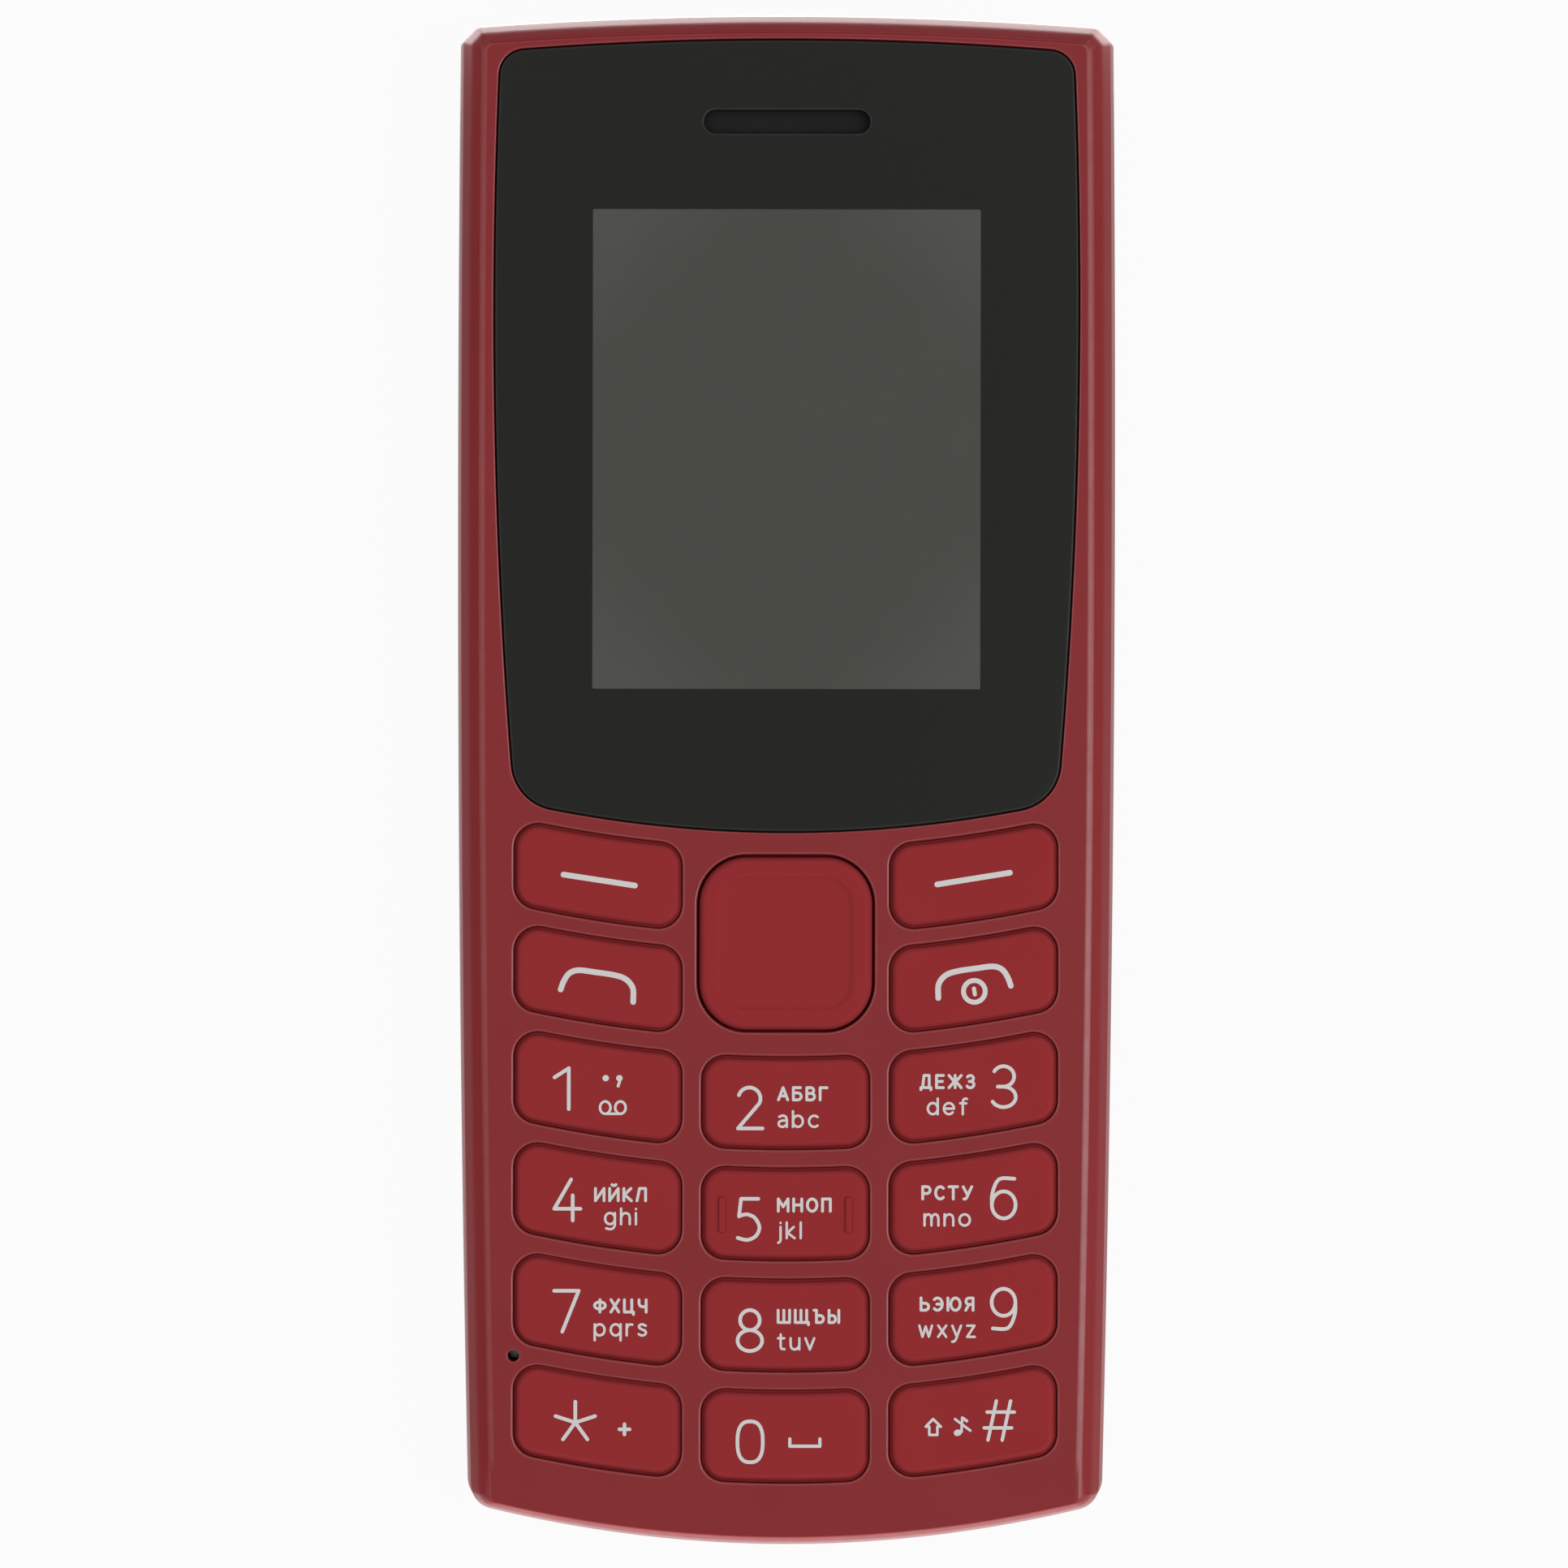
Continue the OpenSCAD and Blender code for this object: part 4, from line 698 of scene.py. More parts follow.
# Key legends: strokes with round ends that lie a hair proud of the key's top.
# Digits and letters are drawn from the lower left, for a height of one (small letters: up to their waist).
legend = {"stroke": 0.27, "proud": 0.02, "sunk": 0.06, "lift": 0.0012, "digit": 3.32,
          "edge": (-3.22, -3.55, 3.15), "rise": (0.0, -0.34, 0.2), "lettersAt": (1.72, -0.53, -1.95),
          "capital": 1.12, "capitalStroke": 0.21, "capitalGap": 0.42, "capitalWide": 1.0,
          "capitalBase": (-0.05, 0.27, 0.12), "small": 1.01, "smallStroke": 0.18, "smallGap": 0.46,
          "smallWide": 1.3, "smallBase": (-1.8, -1.74, -1.86)}


def line(*points):
    return np.array(points, float)


def arc(x, y, rx, ry, start, end, steps=22):
    angles = np.radians(np.linspace(start, end, steps))
    return np.stack([x + rx * np.cos(angles), y + ry * np.sin(angles)], 1)


def ellipse(x, y, rx, ry):
    path = arc(x, y, rx, ry, 0, 360, 41)
    path[-1] = path[0]
    return path


# Ellipse with fuller corners: the shares of its cosine and sine are raised to a power below one
def squareRound(x, y, rx, ry, power=0.78):
    path = ellipse(0, 0, 1, 1)
    return np.sign(path) * np.abs(path) ** power * (rx, ry) + (x, y)


# Straight legs between corner points, one stroke each, so that the corners come out round
def legs(*points):
    return [line(a, b) for a, b in zip(points[:-1], points[1:])]


# Smooth curve through points: each span is a cubic that takes its end slopes from the neighbouring points.
def smooth(points, steps=6):
    p = np.array(points, float)
    p = np.concatenate([2 * p[:1] - p[1:2], p, 2 * p[-1:] - p[-2:-1]])
    t = np.linspace(0, 1, steps, endpoint=False)[:, None, None]
    a, b, c, d = p[:-3], p[1:-2], p[2:-1], p[3:]
    spans = b + 0.5 * ((c - a) * t + (2 * a - 5 * b + 4 * c - d) * t ** 2 + (3 * b - a - 3 * c + d) * t ** 3)
    return np.concatenate([spans.transpose(1, 0, 2).reshape(-1, 2), p[-2:-1]])


# Stroke: four corners carried along a path. Its width closes to nothing over the round ends.
def ribbon(path, width, surface, lift):
    closed = len(path) > 3 and np.array_equal(path[0], path[-1])
    path = path[:-1] if closed else path
    tangents = np.roll(path, -1, 0) - np.roll(path, 1, 0) if closed else np.gradient(path, axis=0)
    tangents /= np.linalg.norm(tangents, axis=1, keepdims=True)
    halves = np.full(len(path), width / 2)
    if not closed:
        angles = np.linspace(0, math.pi / 2, 6)[:-1, None]
        reach, girth = width / 2 * np.cos(angles), width / 2 * np.sin(angles[:, 0])
        ends = np.ones_like(reach)
        path = np.concatenate([path[0] - tangents[0] * reach, path, path[-1] + tangents[-1] * reach[::-1]])
        tangents = np.concatenate([tangents[0] * ends, tangents, tangents[-1] * ends])
        halves = np.concatenate([girth, halves, girth[::-1]])
    aside = np.stack([-tangents[:, 1], tangents[:, 0]], 1) * halves[:, None]
    left, right = path + aside, path - aside
    low, high = lift - legend["sunk"], lift + legend["proud"]
    rings = np.stack([np.column_stack([edge, surface(edge) + level]) for edge, level in
                      ((left, low), (left, high), (right, high), (right, low))], 1)
    return strip(np.concatenate([rings, rings[:1]]) if closed else rings)


digits = {
    "1": [line((0, 0.775), (0.35, 1)), line((0.35, 1), (0.35, 0))],
    "2": [np.concatenate([arc(0.28, 0.73, 0.27, 0.27, 162, -25), line((0.0, 0.0))]), line((0, 0), (0.6, 0))],
    "3": [arc(0.30, 0.75, 0.26, 0.25, 150, -90), line((0.16, 0.5), (0.30, 0.5)),
          arc(0.30, 0.25, 0.30, 0.25, 90, -152)],
    "4": legs((0.41, 1), (0, 0.285), (0.64, 0.285)) + [line((0.45, 0.61), (0.45, 0))],
    "5": legs((0.5, 1), (0.08, 1), (0.03, 0.57)) + [
        smooth([(0.03, 0.57), (0.12, 0.605), (0.25, 0.615), (0.42, 0.53), (0.53, 0.31), (0.45, 0.1), (0.27, 0),
                (0.12, 0.01), (0, 0.045)])],
    "6": [ellipse(0.32, 0.33, 0.29, 0.33),
          smooth([(0.03, 0.33), (0.04, 0.60), (0.14, 0.88), (0.28, 0.98), (0.58, 0.97)])],
    "7": legs((0, 1), (0.6, 1), (0.2, 0)),
    "8": [ellipse(0.3, 0.755, 0.24, 0.245), ellipse(0.3, 0.255, 0.30, 0.255)],
    "9": [ellipse(0.32, 0.67, 0.29, 0.33),
          smooth([(0.61, 0.67), (0.60, 0.40), (0.50, 0.12), (0.36, 0.02), (0.06, 0.03)])],
    "0": [squareRound(0.31, 0.5, 0.31, 0.5)],
}


# Bowl of a letter: a level stroke, a half round and a level stroke back to the stem
def bowl(stem, x, low, high, reach):
    y, r = (low + high) / 2, (high - low) / 2
    return [line((stem, high), (x, high)), arc(x, y, reach, r, 90, -90), line((x, low), (stem, low))]


capitalLetters = {
    "А": legs((0, 0), (0.38, 1), (0.76, 0)) + [line((0.13, 0.32), (0.63, 0.32))],
    "Б": legs((0.58, 1), (0, 1), (0, 0)) + bowl(0, 0.36, 0, 0.57, 0.28),
    "В": legs((0, 0), (0, 1)) + bowl(0, 0.34, 0.53, 1, 0.22) + bowl(0, 0.36, 0, 0.53, 0.27),
    "Г": legs((0, 0), (0, 1), (0.56, 1)),
    "Д": legs((0, -0.17), (0, 0), (0.82, 0), (0.82, -0.17)) + legs((0.14, 0), (0.26, 1), (0.68, 1), (0.68, 0)),
    "Е": legs((0.56, 1), (0, 1), (0, 0), (0.56, 0)) + [line((0, 0.51), (0.48, 0.51))],
    "Ж": [line((0.5, 0), (0.5, 1))] + legs((0, 1), (0.44, 0.5), (0, 0)) + legs((1, 1), (0.56, 0.5), (1, 0)),
    "З": [arc(0.28, 0.76, 0.26, 0.24, 150, -90), line((0.2, 0.52), (0.3, 0.52)),
          arc(0.28, 0.26, 0.3, 0.26, 90, -150)],
    "И": legs((0, 1), (0, 0), (0.7, 1), (0.7, 0)),
    "Й": legs((0, 1), (0, 0), (0.7, 1), (0.7, 0)) + [arc(0.35, 1.36, 0.17, 0.12, 200, 340, 12)],
    "К": legs((0, 0), (0, 1)) + legs((0.58, 1), (0.05, 0.5), (0.62, 0)),
    "Л": legs((0, 0), (0.2, 1), (0.7, 1), (0.7, 0)),
    "М": legs((0, 0), (0, 1), (0.4, 0.36), (0.8, 1), (0.8, 0)),
    "Н": legs((0, 0), (0, 1)) + legs((0.66, 0), (0.66, 1)) + legs((0, 0.51), (0.66, 0.51)),
    "О": [ellipse(0.39, 0.5, 0.39, 0.5)],
    "П": legs((0, 0), (0, 1), (0.64, 1), (0.64, 0)),
    "Р": legs((0, 0), (0, 1)) + bowl(0, 0.34, 0.44, 1, 0.26),
    "С": [arc(0.38, 0.5, 0.38, 0.5, 48, 312)],
    "Т": legs((0, 1), (0.7, 1)) + legs((0.35, 1), (0.35, 0)),
    "У": legs((0, 1), (0.35, 0.34)) + [smooth([(0.7, 1), (0.46, 0.5), (0.3, 0.14), (0.18, 0.01), (0.06, 0.0)])],
    "Ф": legs((0.44, 0), (0.44, 1)) + [ellipse(0.44, 0.53, 0.44, 0.29)],
    "Х": legs((0, 0), (0.64, 1)) + legs((0, 1), (0.64, 0)),
    "Ц": legs((0, 1), (0, 0), (0.74, 0), (0.74, -0.19)) + legs((0.6, 0), (0.6, 1)),
    "Ч": [smooth([(0, 1), (0, 0.72), (0.1, 0.5), (0.32, 0.43), (0.58, 0.47)])] + legs((0.58, 1), (0.58, 0)),
    "Ш": legs((0, 1), (0, 0), (0.94, 0), (0.94, 1)) + legs((0.47, 0), (0.47, 1)),
    "Щ": legs((0, 1), (0, 0), (1.08, 0), (1.08, -0.19)) + legs((0.47, 0), (0.47, 1)) + legs((0.94, 0), (0.94, 1)),
    "Ъ": legs((0, 1), (0.2, 1), (0.2, 0)) + bowl(0.2, 0.5, 0, 0.57, 0.27),
    "Ы": legs((0, 1), (0, 0)) + bowl(0, 0.28, 0, 0.57, 0.25) + legs((0.8, 0), (0.8, 1)),
    "Ь": legs((0, 1), (0, 0)) + bowl(0, 0.34, 0, 0.57, 0.28),
    "Э": [arc(0.27, 0.5, 0.39, 0.5, 132, -132), line((0.22, 0.5), (0.66, 0.5))],
    "Ю": legs((0, 0), (0, 1)) + legs((0, 0.5), (0.24, 0.5)) + [ellipse(0.62, 0.5, 0.38, 0.5)],
    "Я": legs((0.6, 0), (0.6, 1)) + [line((0.6, 1), (0.28, 1)), arc(0.28, 0.74, 0.26, 0.26, 90, 270),
                                     line((0.28, 0.48), (0.6, 0.48)), line((0.26, 0.48), (0, 0))],
}
roundBowl = ellipse(0.34, 0.5, 0.34, 0.5)
arch = smooth([(0, 0.6), (0.11, 0.88), (0.32, 1.0), (0.53, 0.88), (0.6, 0.58)])
smallLetters = {
    "a": [smooth([(0.06, 0.9), (0.28, 1.0), (0.5, 0.92), (0.58, 0.66)]), line((0.58, 0.66), (0.58, 0)),
          smooth([(0.58, 0.57), (0.28, 0.56), (0.06, 0.44), (0.02, 0.22), (0.14, 0.03), (0.34, 0.01), (0.58, 0.2)])],
    "b": [roundBowl] + legs((0, 0), (0, 1.4)),
    "c": [arc(0.36, 0.5, 0.36, 0.5, 50, 310)],
    "d": [roundBowl] + legs((0.68, 0), (0.68, 1.4)),
    "e": [arc(0.35, 0.5, 0.35, 0.5, 0, 318), line((0, 0.5), (0.7, 0.5))],
    "f": [smooth([(0.46, 1.38), (0.34, 1.4), (0.22, 1.3), (0.18, 1.1)]), line((0.18, 1.1), (0.18, 0)),
          line((0, 0.98), (0.42, 0.98))],
    "g": [roundBowl, line((0.68, 1), (0.68, -0.05)),
          smooth([(0.68, -0.05), (0.58, -0.34), (0.34, -0.45), (0.08, -0.38)])],
    "h": [arch] + legs((0, 0), (0, 1.4)) + legs((0.6, 0.58), (0.6, 0)),
    "i": legs((0, 0), (0, 1)) + legs((0, 1.36), (0, 1.37)),
    "j": [line((0.16, 1), (0.16, -0.1)), smooth([(0.16, -0.1), (0.12, -0.32), (0, -0.42)]),
          line((0.16, 1.36), (0.16, 1.37))],
    "k": legs((0, 0), (0, 1.4)) + legs((0.48, 1), (0.05, 0.48), (0.54, 0)),
    "l": legs((0, 0), (0, 1.4)),
    "m": [arch * (0.8, 1), arch * (0.8, 1) + (0.48, 0)] + legs((0, 0), (0, 1)) + legs((0.48, 0.58), (0.48, 0))
         + legs((0.96, 0.58), (0.96, 0)),
    "n": [arch] + legs((0, 0), (0, 1)) + legs((0.6, 0.58), (0.6, 0)),
    "o": [ellipse(0.36, 0.5, 0.36, 0.5)],
    "p": [roundBowl] + legs((0, 1), (0, -0.44)),
    "q": [roundBowl] + legs((0.68, 1), (0.68, -0.44)),
    "r": [smooth([(0, 0.58), (0.08, 0.86), (0.22, 0.99), (0.38, 0.97)])] + legs((0, 0), (0, 1)),
    "s": [smooth([(0.5, 0.88), (0.28, 1.0), (0.07, 0.91), (0.06, 0.7), (0.26, 0.54), (0.46, 0.42), (0.52, 0.22),
                  (0.4, 0.04), (0.2, 0.01), (0.02, 0.12)])],
    "t": [line((0.18, 1.34), (0.18, 0.25)), smooth([(0.18, 0.25), (0.24, 0.06), (0.44, 0.02)]),
          line((0, 1), (0.42, 1))],
    "u": [(0.6, 1) - arch] + legs((0, 1), (0, 0.42)) + legs((0.6, 1), (0.6, 0)),
    "v": legs((0, 1), (0.3, 0), (0.6, 1)),
    "w": legs((0, 1), (0.22, 0), (0.44, 0.92), (0.66, 0), (0.88, 1)),
    "x": legs((0, 1), (0.55, 0)) + legs((0, 0), (0.55, 1)),
    "y": legs((0, 1), (0.31, 0.02)) + [smooth([(0.6, 1), (0.4, 0.32), (0.26, -0.18), (0.14, -0.4), (0.0, -0.44)])],
    "z": legs((0, 1), (0.5, 1), (0, 0), (0.52, 0)),
}
capitalWords = dict(zip("23456789", "АБВГ ДЕЖЗ ИЙКЛ МНОП РСТУ ФХЦЧ ШЩЪЫ ЬЭЮЯ".split()))
smallWords = dict(zip("23456789", "abc def ghi jkl mno pqrs tuv wxyz".split()))
handset = smooth([(-2.64, -1.27), (-2.61, -0.25), (-2.09, 0.42), (-1.22, 0.73), (0.16, 0.94), (1.44, 1.09),
                  (2.13, 0.85), (2.54, 0.27), (2.77, -0.35)])
starReach = 1.55
starArms = [line((0, 0), (starReach * math.sin(a), starReach * math.cos(a))) for a in np.arange(5) * 2 * math.pi / 5]


def strokesOf(width, *paths):
    return [(path, width) for path in paths]


# Signs in millimetres from the middle of the key, each path with its stroke width
signs = {
    "soft_left": strokesOf(0.42, line((-2.57, 0.19), (2.76, -0.62))),
    "soft_right": strokesOf(0.42, line((-2.73, -0.5), (2.69, 0.38))),
    "call": strokesOf(0.42, handset * (-1, 1) + (0, -0.33)),
    "end": strokesOf(0.42, handset) + strokesOf(0.36, ellipse(0.05, -0.77, 0.81, 0.81))
           + strokesOf(0.3, line((0.02, -0.56), (0.09, -1.0))),
    "1": strokesOf(0.46, line((0.59, 0.79), (0.61, 0.79)), line((1.61, 0.79), (1.63, 0.79)))
         + strokesOf(0.22, line((1.68, 0.7), (1.53, 0.2)))
         + strokesOf(0.19, ellipse(0.57, -1.41, 0.39, 0.46), ellipse(1.70, -1.41, 0.39, 0.46),
                     line((0.57, -1.87), (1.70, -1.87))),
    "star": strokesOf(legend["stroke"], *[arm + (-1.63, 0.0) for arm in starArms])
            + strokesOf(0.26, line((1.66, -0.5), (2.42, -0.5)), line((2.04, -0.88), (2.04, -0.12))),
    "0": strokesOf(0.24, *legs((0.36, -0.12), (0.36, -0.66), (2.6, -0.66), (2.6, -0.12))),
    "hash": strokesOf(0.25, line((1.74, 1.66), (1.12, -1.26)), line((2.80, 1.66), (2.18, -1.26)),
                      line((1.05, 0.83), (3.08, 0.83)), line((0.84, -0.35), (2.88, -0.35)))
            + strokesOf(0.19, line((-2.98, 0.30), (-3.52, -0.26)), line((-2.98, 0.30), (-2.40, -0.26)),
                        line((-3.52, -0.26), (-3.26, -0.26)), line((-2.40, -0.26), (-2.66, -0.26)),
                        line((-3.26, -0.26), (-3.26, -0.88)), line((-2.66, -0.26), (-2.66, -0.88)),
                        line((-3.26, -0.88), (-2.66, -0.88)))
            + strokesOf(0.46, line((-1.2, -0.73), (-1.08, -0.70)))
            + strokesOf(0.19, line((-0.86, -0.65), (-0.80, 0.40)))
            + strokesOf(0.22, line((-0.80, 0.40), (-0.46, 0.16)))
            + strokesOf(0.19, line((-1.34, 0.30), (-0.20, -0.55))),
}


# Sets a word: letter after letter with an even gap, from its left end or about its middle
def wordStrokes(word, letters, tall, wide, gap, centred):
    paths, x = [], 0.0
    for letter in word:
        strokes = [path * (tall * wide, tall) for path in letters[letter]]
        paths += [path + (x, 0) for path in strokes]
        x += max(path[:, 0].max() for path in strokes) + gap
    return [path - ((x - gap) / 2 if centred else 0, 0) for path in paths]


def keyLegends():
    for name, (column, row) in keyPlaces.items():
        label, side = name.removeprefix("key_"), column + 1
        middle, half = keyFrame(column, row)
        strokes = list(signs.get(label, []))
        if label in digits:
            tall = legend["digit"] - legend["stroke"]
            wide = max(path[:, 0].max() for path in digits[label]) * tall
            corner = (legend["edge"][side] - (wide if column == 1 else 0), legend["rise"][side] - tall / 2)
            strokes += strokesOf(legend["stroke"], *[path * tall + corner for path in digits[label]])
        if label in smallWords:
            for kind, word, letters in (("capital", capitalWords[label], capitalLetters),
                                        ("small", smallWords[label], smallLetters)):
                width, corner = legend[kind + "Stroke"], (legend["lettersAt"][side], legend[kind + "Base"][side])
                paths = wordStrokes(word, letters, legend[kind] - width, legend[kind + "Wide"],
                                    legend[kind + "Gap"], column != 0)
                strokes += strokesOf(width, *[path + corner for path in paths])
        parts = [ribbon(path + middle, width, lambda at: crownHeight(at, middle, half), k * legend["lift"])
                 for k, (path, width) in enumerate(strokes)]
        makePiece(name + "_legend", parts, name, "white_plastic", sharp=30, recalc=True, finish="ink")


keyLegends()
print("legends made")


# Navigation key: the same build with a recessed pad; the pad's edge falls along a smooth step
def navKey():
    top, middle = nav["top"], np.array([0, nav["y"]])
    rings = keySide(navLoop, middle, nav, lambda points: top, 9)
    for share in np.linspace(0, 1, 9):
        fall = nav["padDepth"] * share * share * (3 - 2 * share)
        rings.append(ring(navLoop(-nav["padStep"] - nav["padWidth"] * share), top - fall))
    inner = navLoop(-nav["padStep"] - nav["padWidth"])
    for share in np.linspace(1, 0, 8)[1:]:
        rings.append(ring(middle + (inner - middle) * share, top - nav["padDepth"]))
    makePiece("nav_cap", [strip(rings)], "nav_key", "key_red", ["nav_key"])


navKey()
print("navigation key made")

# Rear cover: a profile carried round the outline, from the flat back over the round edge to the seam and
# down the inside to the floor, with the speaker slots as openings.
# Jack and torch: x, z, radius and place of the wall. Socket: half width, low, high, corner and place of the wall.
# Cuts: depth from the wall and growth there. Tab ends: share of the half length along it and of the profile.
cover = {"wear": 0.6, "wall": 1.1, "round": 3.6, "roundHeight": 5.0, "seam": 9.2, "edge": 0.12, "seamIn": 0.02,
         "support": 0.06, "slots": 5, "slotLength": 10.0, "slotWidth": 1.0, "slotPitch": 2.2, "speaker": 33.05,
         "slotRound": 0.2, "jack": (-12.1, 6.5, 2.1, 57.31), "torch": (0.0, 7.0, 1.6, 57.55),
         "usb": (4.05, 6.15, 9.9, 0.5, -57.55), "cutDepths": (-3, -0.26, -0.19, 0, 0.8),
         "cutGrowths": (0, 0, 0.03, 0.25, 0.65), "tabs": (-31.95, 4.05, 40.05), "tabLength": 5.0, "tabIn": 2.75,
         "tabEnds": ((-1, 0.95), (-0.96, 1), (0.96, 1), (1, 0.95))}
# Snap tab: distance outwards from its inner side, and height
tabProfile = np.array([(0.15, 6.2), (2.2, 6.2), (2.2, 9.15), (0.75, 9.15), (0.65, 9.25), (0.65, 10.05), (0.5, 10.2),
                       (0.15, 10.2), (0, 10.05), (0, 6.35)])


# Holes in the end walls: each loop is carried through the wall and opens out over its outer edge
def coverCuts():
    depths, growths = np.array(cover["cutDepths"]), cover["cutGrowths"]
    parts = []
    for x, z, radius, wallAt in (cover["jack"], cover["torch"]):
        parts += acrossY([circleLoop(x, z, radius + g, 36) for g in growths], wallAt + depths)
    half, low, high, corner, wallAt = cover["usb"]
    return parts + acrossY([boxLoop(half + g, low - g, high + g, corner + g, 3, 4) for g in growths], wallAt - depths)


def coverTabs():
    parts = []
    middle = tabProfile.mean(0)
    for y in cover["tabs"]:
        inner = body["half"] - (y - body["widest"]) ** 2 / (2 * body["sideRadius"]) - cover["tabIn"]
        places = [y + cover["tabLength"] / 2 * along for along, share in cover["tabEnds"]]
        for side in (-1, 1):
            parts += acrossY([((tabProfile - middle) * share + middle + (inner, 0)) * (side, 1)
                              for along, share in cover["tabEnds"]], places)
    return parts


def rearCover():
    angles = np.linspace(0, math.pi / 2, 13)
    wide, tall, wall = cover["round"], cover["roundHeight"], cover["wall"]
    seam, edge, support = cover["seam"], cover["edge"], cover["support"]
    outer = np.stack([wide * (1 - np.sin(angles)), tall * (1 - np.cos(angles))], 1)
    inner = np.stack([wall + (wide - wall) * (1 - np.sin(angles)), wall + (tall - wall) * (1 - np.cos(angles))], 1)
    path = np.concatenate([[(wide + support, 0)], outer, [(cover["seamIn"], seam - edge), (edge, seam), (wall, seam)],
                           inner[::-1], [(wide + support, wall)]])
    rings = [ring(bodyLoop(inset), z) for inset, z in path]
    holes = []
    for k in range(cover["slots"]):
        y = cover["speaker"] + (k - (cover["slots"] - 1) / 2) * cover["slotPitch"]
        holes.append(lambda g, y=y: slotLoop(0, y, cover["slotLength"] + 2 * g, cover["slotWidth"] + 2 * g))
    slotRound = cover["slotRound"]
    parts = [strip(rings)]
    parts += [openingWall(hole, slotRound, support, 0, wall, ends=(0, support), flip=True) for hole in holes]
    parts.append(flatFace(rings[0][:, :2], [hole(slotRound + support) for hole in holes], 0, down=True))
    parts.append(flatFace(rings[-1][:, :2], [hole(support) for hole in holes], wall))
    mesh = combine(newMesh("rear_shell", parts), coverTabs(), "UNION")
    mesh = combine(mesh, coverCuts(), "DIFFERENCE")
    finishPiece("rear_shell", mesh, "rear_cover", "housing_red", ["rear_cover"], 30,
                lambda points, wear: cover["wear"] * wear)


rearCover()
print("rear cover made")

# Battery: an outline of four edges carried over a round profile, with a bare label and the two pole signs.
# Label: half width, low, high and corner. Signs: place, and whether it is the plus.
cell = {"half": 17.0, "low": -34.05, "high": 18.91, "corner": 2.0, "back": 1.34, "front": 6.9, "round": 0.7,
        "label": (15.2, -31.5, 12.5, 1.2), "labelBack": 1.3, "labelSunk": 0.1, "labelRound": 0.02,
        "signs": ((5.0, 15.6, True), (11.0, 15.6, False)), "sign": 1.1, "stroke": 0.34}


def cellLoop(grow):
    return boxLoop(cell["half"] + grow, cell["low"] - grow, cell["high"] + grow, cell["corner"] + grow, 10, 6)


def labelLoop(grow):
    half, low, high, corner = cell["label"]
    return boxLoop(half + grow, low - grow, high + grow, corner + grow, 6, 5)


# Parts that are worked out facing the front, turned to face the back
def facingBack(parts):
    return [(points * (1, 1, -1), faces) for points, faces in parts]


def battery():
    shift, drop = quarterRound(6)
    r, back = cell["round"], cell["back"]
    growths = np.concatenate([r * shift - r, r * shift[::-1] - r])
    levels = np.concatenate([back + r * drop, cell["front"] - r * drop[::-1]])
    parts = [strip([ring(cellLoop(g), z) for g, z in zip(growths, levels)]),
             flatFace(cellLoop(-r), [], back, down=True), flatFace(cellLoop(-r), [], cell["front"])]
    makePiece("battery_cell", parts, "battery", "battery_wrap", ["battery"])
    sheet = plate(labelLoop, -back - cell["labelSunk"], -cell["labelBack"], cell["labelRound"], 2)
    makePiece("battery_label", facingBack(sheet), "battery", "film", recalc=True, finish="label")
    poles, arm = [], cell["sign"]
    for x, y, plus in cell["signs"]:
        poles += [line((x - arm, y), (x + arm, y))] + ([line((x, y - arm), (x, y + arm))] if plus else [])
    marks = [ribbon(path, cell["stroke"], lambda at: np.full(len(at), -back), k * legend["lift"])
             for k, path in enumerate(poles)]
    makePiece("battery_signs", facingBack(marks), "battery", "white_plastic", sharp=30, recalc=True, finish="ink")


battery()
print("battery made")

# Screws: a round head with a cross recess, facing the back, on a plain shank
screw = {"places": [(-21.3, 46.05), (21.3, 46.05), (-21.3, 21.75), (21.3, 21.75), (-17.2, -52.84), (17.2, -52.84)],
         "head": 1.3, "headLow": 6.28, "headHigh": 6.98, "round": 0.3, "shank": 0.7, "tip": 0.45, "tipLength": 0.3,
         "end": 11.18, "cross": (0.74, 0.16), "recess": 0.42, "floorShare": 0.8}


def crossLoop(x, y, share):
    a, w = screw["cross"][0] * share, screw["cross"][1] * share
    return np.array([(a, -w), (a, w), (w, w), (w, a), (-w, a), (-w, w), (-a, w), (-a, -w), (-w, -w), (-w, -a),
                     (w, -a), (w, -w)]) + (x, y)


def screws():
    shift, drop = quarterRound(5)
    r, low, high, end = screw["round"], screw["headLow"], screw["headHigh"], screw["end"]
    radii = np.concatenate([screw["head"] - r + r * shift,
                            [screw["head"], screw["shank"], screw["shank"], screw["tip"]]])
    levels = np.concatenate([low + r * drop, [high, high, end - screw["tipLength"], end]])
    floor = low + screw["recess"]
    parts = []
    for x, y in screw["places"]:
        mouth, bottom = crossLoop(x, y, 1), crossLoop(x, y, screw["floorShare"])
        parts += [strip([ring(circleLoop(x, y, size), z) for size, z in zip(radii, levels)]),
                  flatFace(circleLoop(x, y, radii[0]), [mouth], low, down=True),
                  strip([ring(bottom, floor), ring(mouth, low)]), flatFace(bottom, [], floor, down=True),
                  flatFace(circleLoop(x, y, screw["tip"]), [], end)]
    makePiece("screws", parts, "phone_body", "steel", ["housing_screws"], sharp=35, recalc=True)


screws()
print("screws made")

# Slot and body of each node
slotOf = {part["node"]: part["material_slot"] for part in frame["record"]["subparts"]}
bodyOf = {name: group for group, names in frame["record"]["behaviour"]["bodies"].items() for name in names}
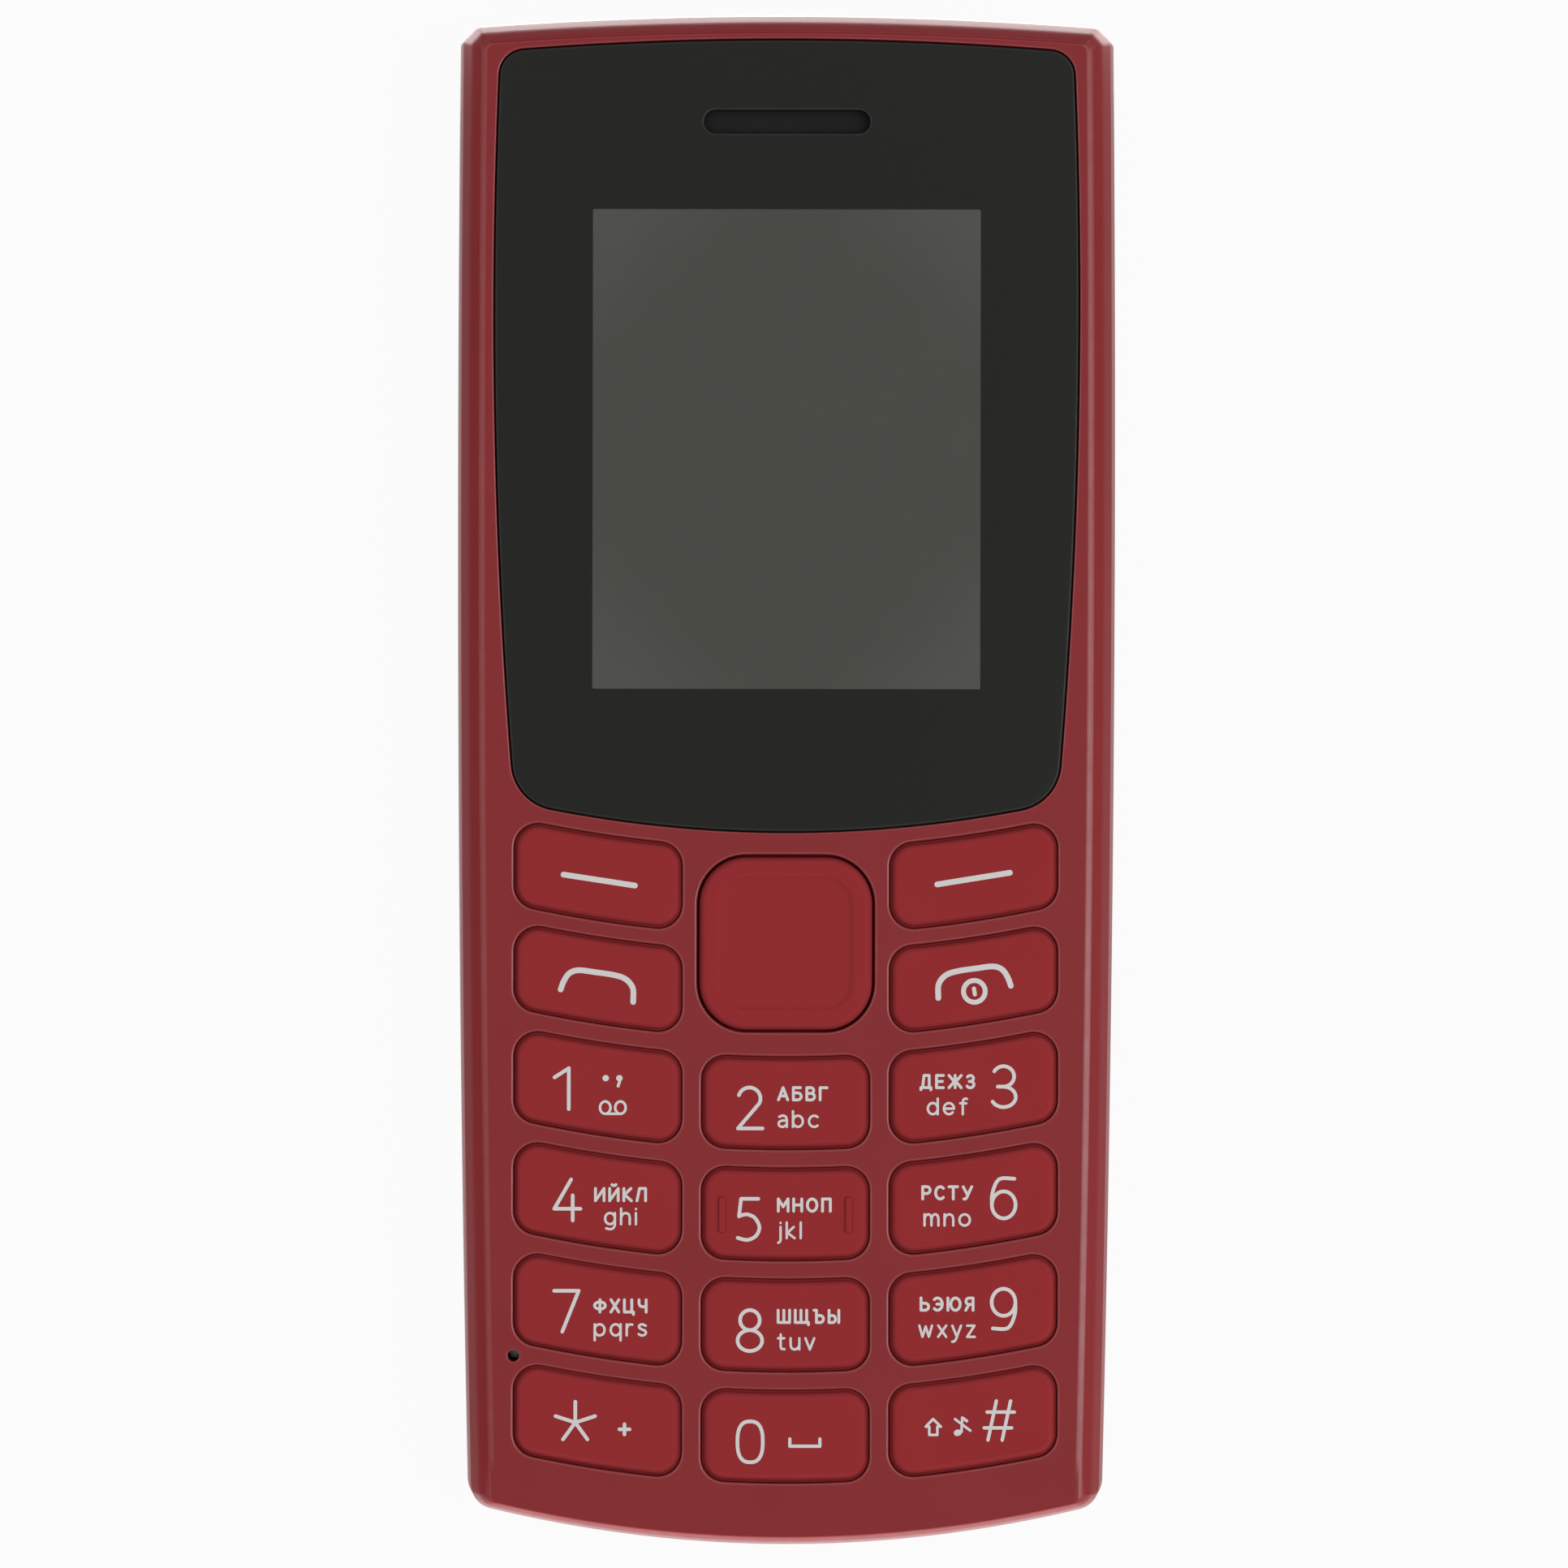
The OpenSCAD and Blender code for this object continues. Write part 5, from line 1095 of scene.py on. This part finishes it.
# Width in millimetres of the round along the edges of the moulded and stamped pieces
softened = {"rear_housing": 0.15, "battery_connector": 0.2, "shield_can": 0.09, "sim_holders": 0.1,
            "loudspeaker": 0.2, "loudspeaker_gasket": 0.12, "micro_usb_socket": 0.1, "usb_tongue": 0.08,
            "headset_jack": 0.2, "torch_lens": 0.15, "torch_led": 0.15, "vibration_motor": 0.2, "earpiece": 0.2,
            "lcd_frame": 0.12, "main_board": 0.08, "microphone": 0.1, "keymat": 0.1, "nav_plate": 0.1,
            "nav_plunger": 0.08, "keypad_lights": 0.06, "battery_terminals": 0.04, "battery_springs": 0.04}


# Copy of a node with its edges rounded: doubles merged, triangles of each flat face joined, edges bevelled.
# Angles in degrees: up to which faces count as one, from which edges are bevelled and from which they shade sharp.
soften = {"flat": 1, "bevel": 30, "sharp": 35, "segments": 2}


def softCopy(name, width):
    mesh = cleaned(frame["nodes"][name].data.copy(), flat=soften["flat"])
    mesh = modified(mesh, "BEVEL", width=width * mm, segments=soften["segments"], limit_method="ANGLE",
                    angle_limit=math.radians(soften["bevel"]), use_clamp_overlap=True)
    mesh.materials.clear()
    finishPiece(name + "_round", mesh, bodyOf[name], slotOf[name], [name], soften["sharp"])


for name, width in softened.items():
    softCopy(name, width)
print("inner pieces rounded:", len(softened))

# Every node that still shows takes the finish of its slot, apart from those with a finish of their own
finishOf = {"earpiece_mesh": "mesh"}
for name, node in frame["nodes"].items():
    node.data.materials.clear()
    node.data.materials.append(materials[finishOf.get(name, slotOf[name])])

# Stage: pale floor with a faint shadow and soft light all round.
# Sky: brightness by height above the horizon as a share of straight up, stronger to the right and to both sides.
stage = {"floorSize": 3.0, "white": 0.95, "pale": 0.5, "floor": -0.0002, "right": 0.28, "sides": 0.65,
         "sky": [(0.0, 0.04), (0.25, 0.06), (0.5, 0.18), (0.7, 0.78), (0.86, 1.3), (0.93, 1.04), (0.965, 0.46),
                 (1.0, 0.3)]}


def makeStage():
    size = stage["floorSize"]
    mesh = bpy.data.meshes.new("floor")
    z = stage["floor"]  # a hair under the back, so that the two don't fight for one plane
    mesh.from_pydata([(-size, -size, z), (size, -size, z), (size, size, z), (-size, size, z)], [], [(0, 1, 2, 3)])
    floor = newObject("floor", mesh)
    material = bpy.data.materials.new("paleFloor")
    tree, add = nodesOf(material)
    tree.nodes.remove(tree.nodes["Principled BSDF"])
    path = add("LightPath").outputs
    seen = reckon(add, "MAXIMUM", path["Is Camera Ray"], path["Is Glossy Ray"])
    seen = reckon(add, "MAXIMUM", seen, path["Is Transmission Ray"])
    share = reckon(add, "MULTIPLY", seen, stage["white"])
    matt = add("BsdfDiffuse", {"Color": (*[stage["pale"]] * 3, 1)})
    glow = add("Emission", {"Color": (1, 1, 1, 1), "Strength": 1.0})
    lit = add("MixShader", {0: share, 1: matt.outputs[0], 2: glow.outputs[0]})
    clear = add("BsdfTransparent")
    through = reckon(add, "MAXIMUM", add("NewGeometry").outputs["Backfacing"], path["Is Shadow Ray"])
    both = add("MixShader", {0: through, 1: lit.outputs[0], 2: clear.outputs[0]})
    tree.links.new(both.outputs[0], tree.nodes["Material Output"].inputs["Surface"])
    mesh.materials.append(material)


# Lights in metres and watts. One that isn't spread shows only in mirror images, one that isn't mirrored never does.
lights = {
    "rightBox": dict(place=(0.44, -0.06, 0.50), size=(0.10, 0.8), power=1.6),
    "lowStrip": dict(place=(0.0, -0.2, 0.004), size=(0.4, 0.006), power=0.5, aim=(0, 0, 0.004), mirrored=False),
    "leftBox": dict(place=(-0.44, 0.05, 0.50), size=(0.10, 0.8), power=0.45),
    "topPaper": dict(place=(0.0, 0.069, 0.0005), size=(0.12, 0.016), power=0.055, aim=(0, 0.069, 1), spread=False),
    "backFill": dict(place=(0.0, 0.0, -0.5), size=(1.0, 1.0), power=5.5, mirrored=False),
}


def makeLight(name, place, size, power, aim=(0, 0, 0.01), spread=True, mirrored=True):
    lamp = bpy.data.lights.new(name, "AREA")
    lamp.shape = "RECTANGLE"
    lamp.size, lamp.size_y = size
    lamp.energy = power
    light = newObject(name, lamp)
    light.location = place
    light.rotation_euler = (Vector(aim) - Vector(place)).to_track_quat("-Z", "Y").to_euler()
    light.visible_camera = False
    light.visible_diffuse = spread
    light.visible_glossy = mirrored


def makeWorld():
    world = bpy.data.worlds.new("softRoom")
    bpy.context.scene.world = world
    tree, add = nodesOf(world)
    toward = add("SeparateXYZ", {0: add("TexCoord").outputs["Generated"]})
    sky = add("ValToRGB", {0: toward.outputs["Z"]})
    stops = sky.color_ramp.elements
    for height, level in stage["sky"][1:-1]:
        stops.new(height)
    for stop, (height, level) in zip(stops, stage["sky"]):
        stop.position, stop.color = height, (level, level, level, 1)
    right = reckon(add, "MULTIPLY_ADD", toward.outputs["X"], stage["right"], 1.0)
    across, along = (reckon(add, "POWER", toward.outputs[axis], 2.0) for axis in "XY")
    sides = reckon(add, "SUBTRACT", across, along)
    lean = reckon(add, "MULTIPLY_ADD", sides, stage["sides"], right)
    level = reckon(add, "MULTIPLY", sky.outputs[0], lean)
    tree.links.new(level, tree.nodes["Background"].inputs["Strength"])
    tree.nodes["Background"].inputs["Color"].default_value = (1, 1, 1, 1)


makeStage()
makeWorld()
for name, settings in lights.items():
    makeLight(name, **settings)

# Camera: straight above, turned a hair, so that the outline fills the same part of the square picture
shot = {"distance": 0.46, "plane": 0.0093, "width": 0.11824, "sensor": 36.0, "middle": (-0.000153, -0.000398),
        "turn": 0.09, "nearest": 0.01}


def makeCamera():
    data = bpy.data.cameras.new("camera")
    data.sensor_width = shot["sensor"]
    data.lens = shot["sensor"] * shot["distance"] / shot["width"]
    data.clip_start = shot["nearest"]
    data.dof.use_dof = False
    camera = newObject("camera", data)
    camera.location = (*shot["middle"], shot["plane"] + shot["distance"])
    camera.rotation_euler = (0, 0, math.radians(shot["turn"]))
    bpy.context.scene.camera = camera


makeCamera()
bpy.context.scene.view_settings.view_transform = "Standard"
print("stage made")
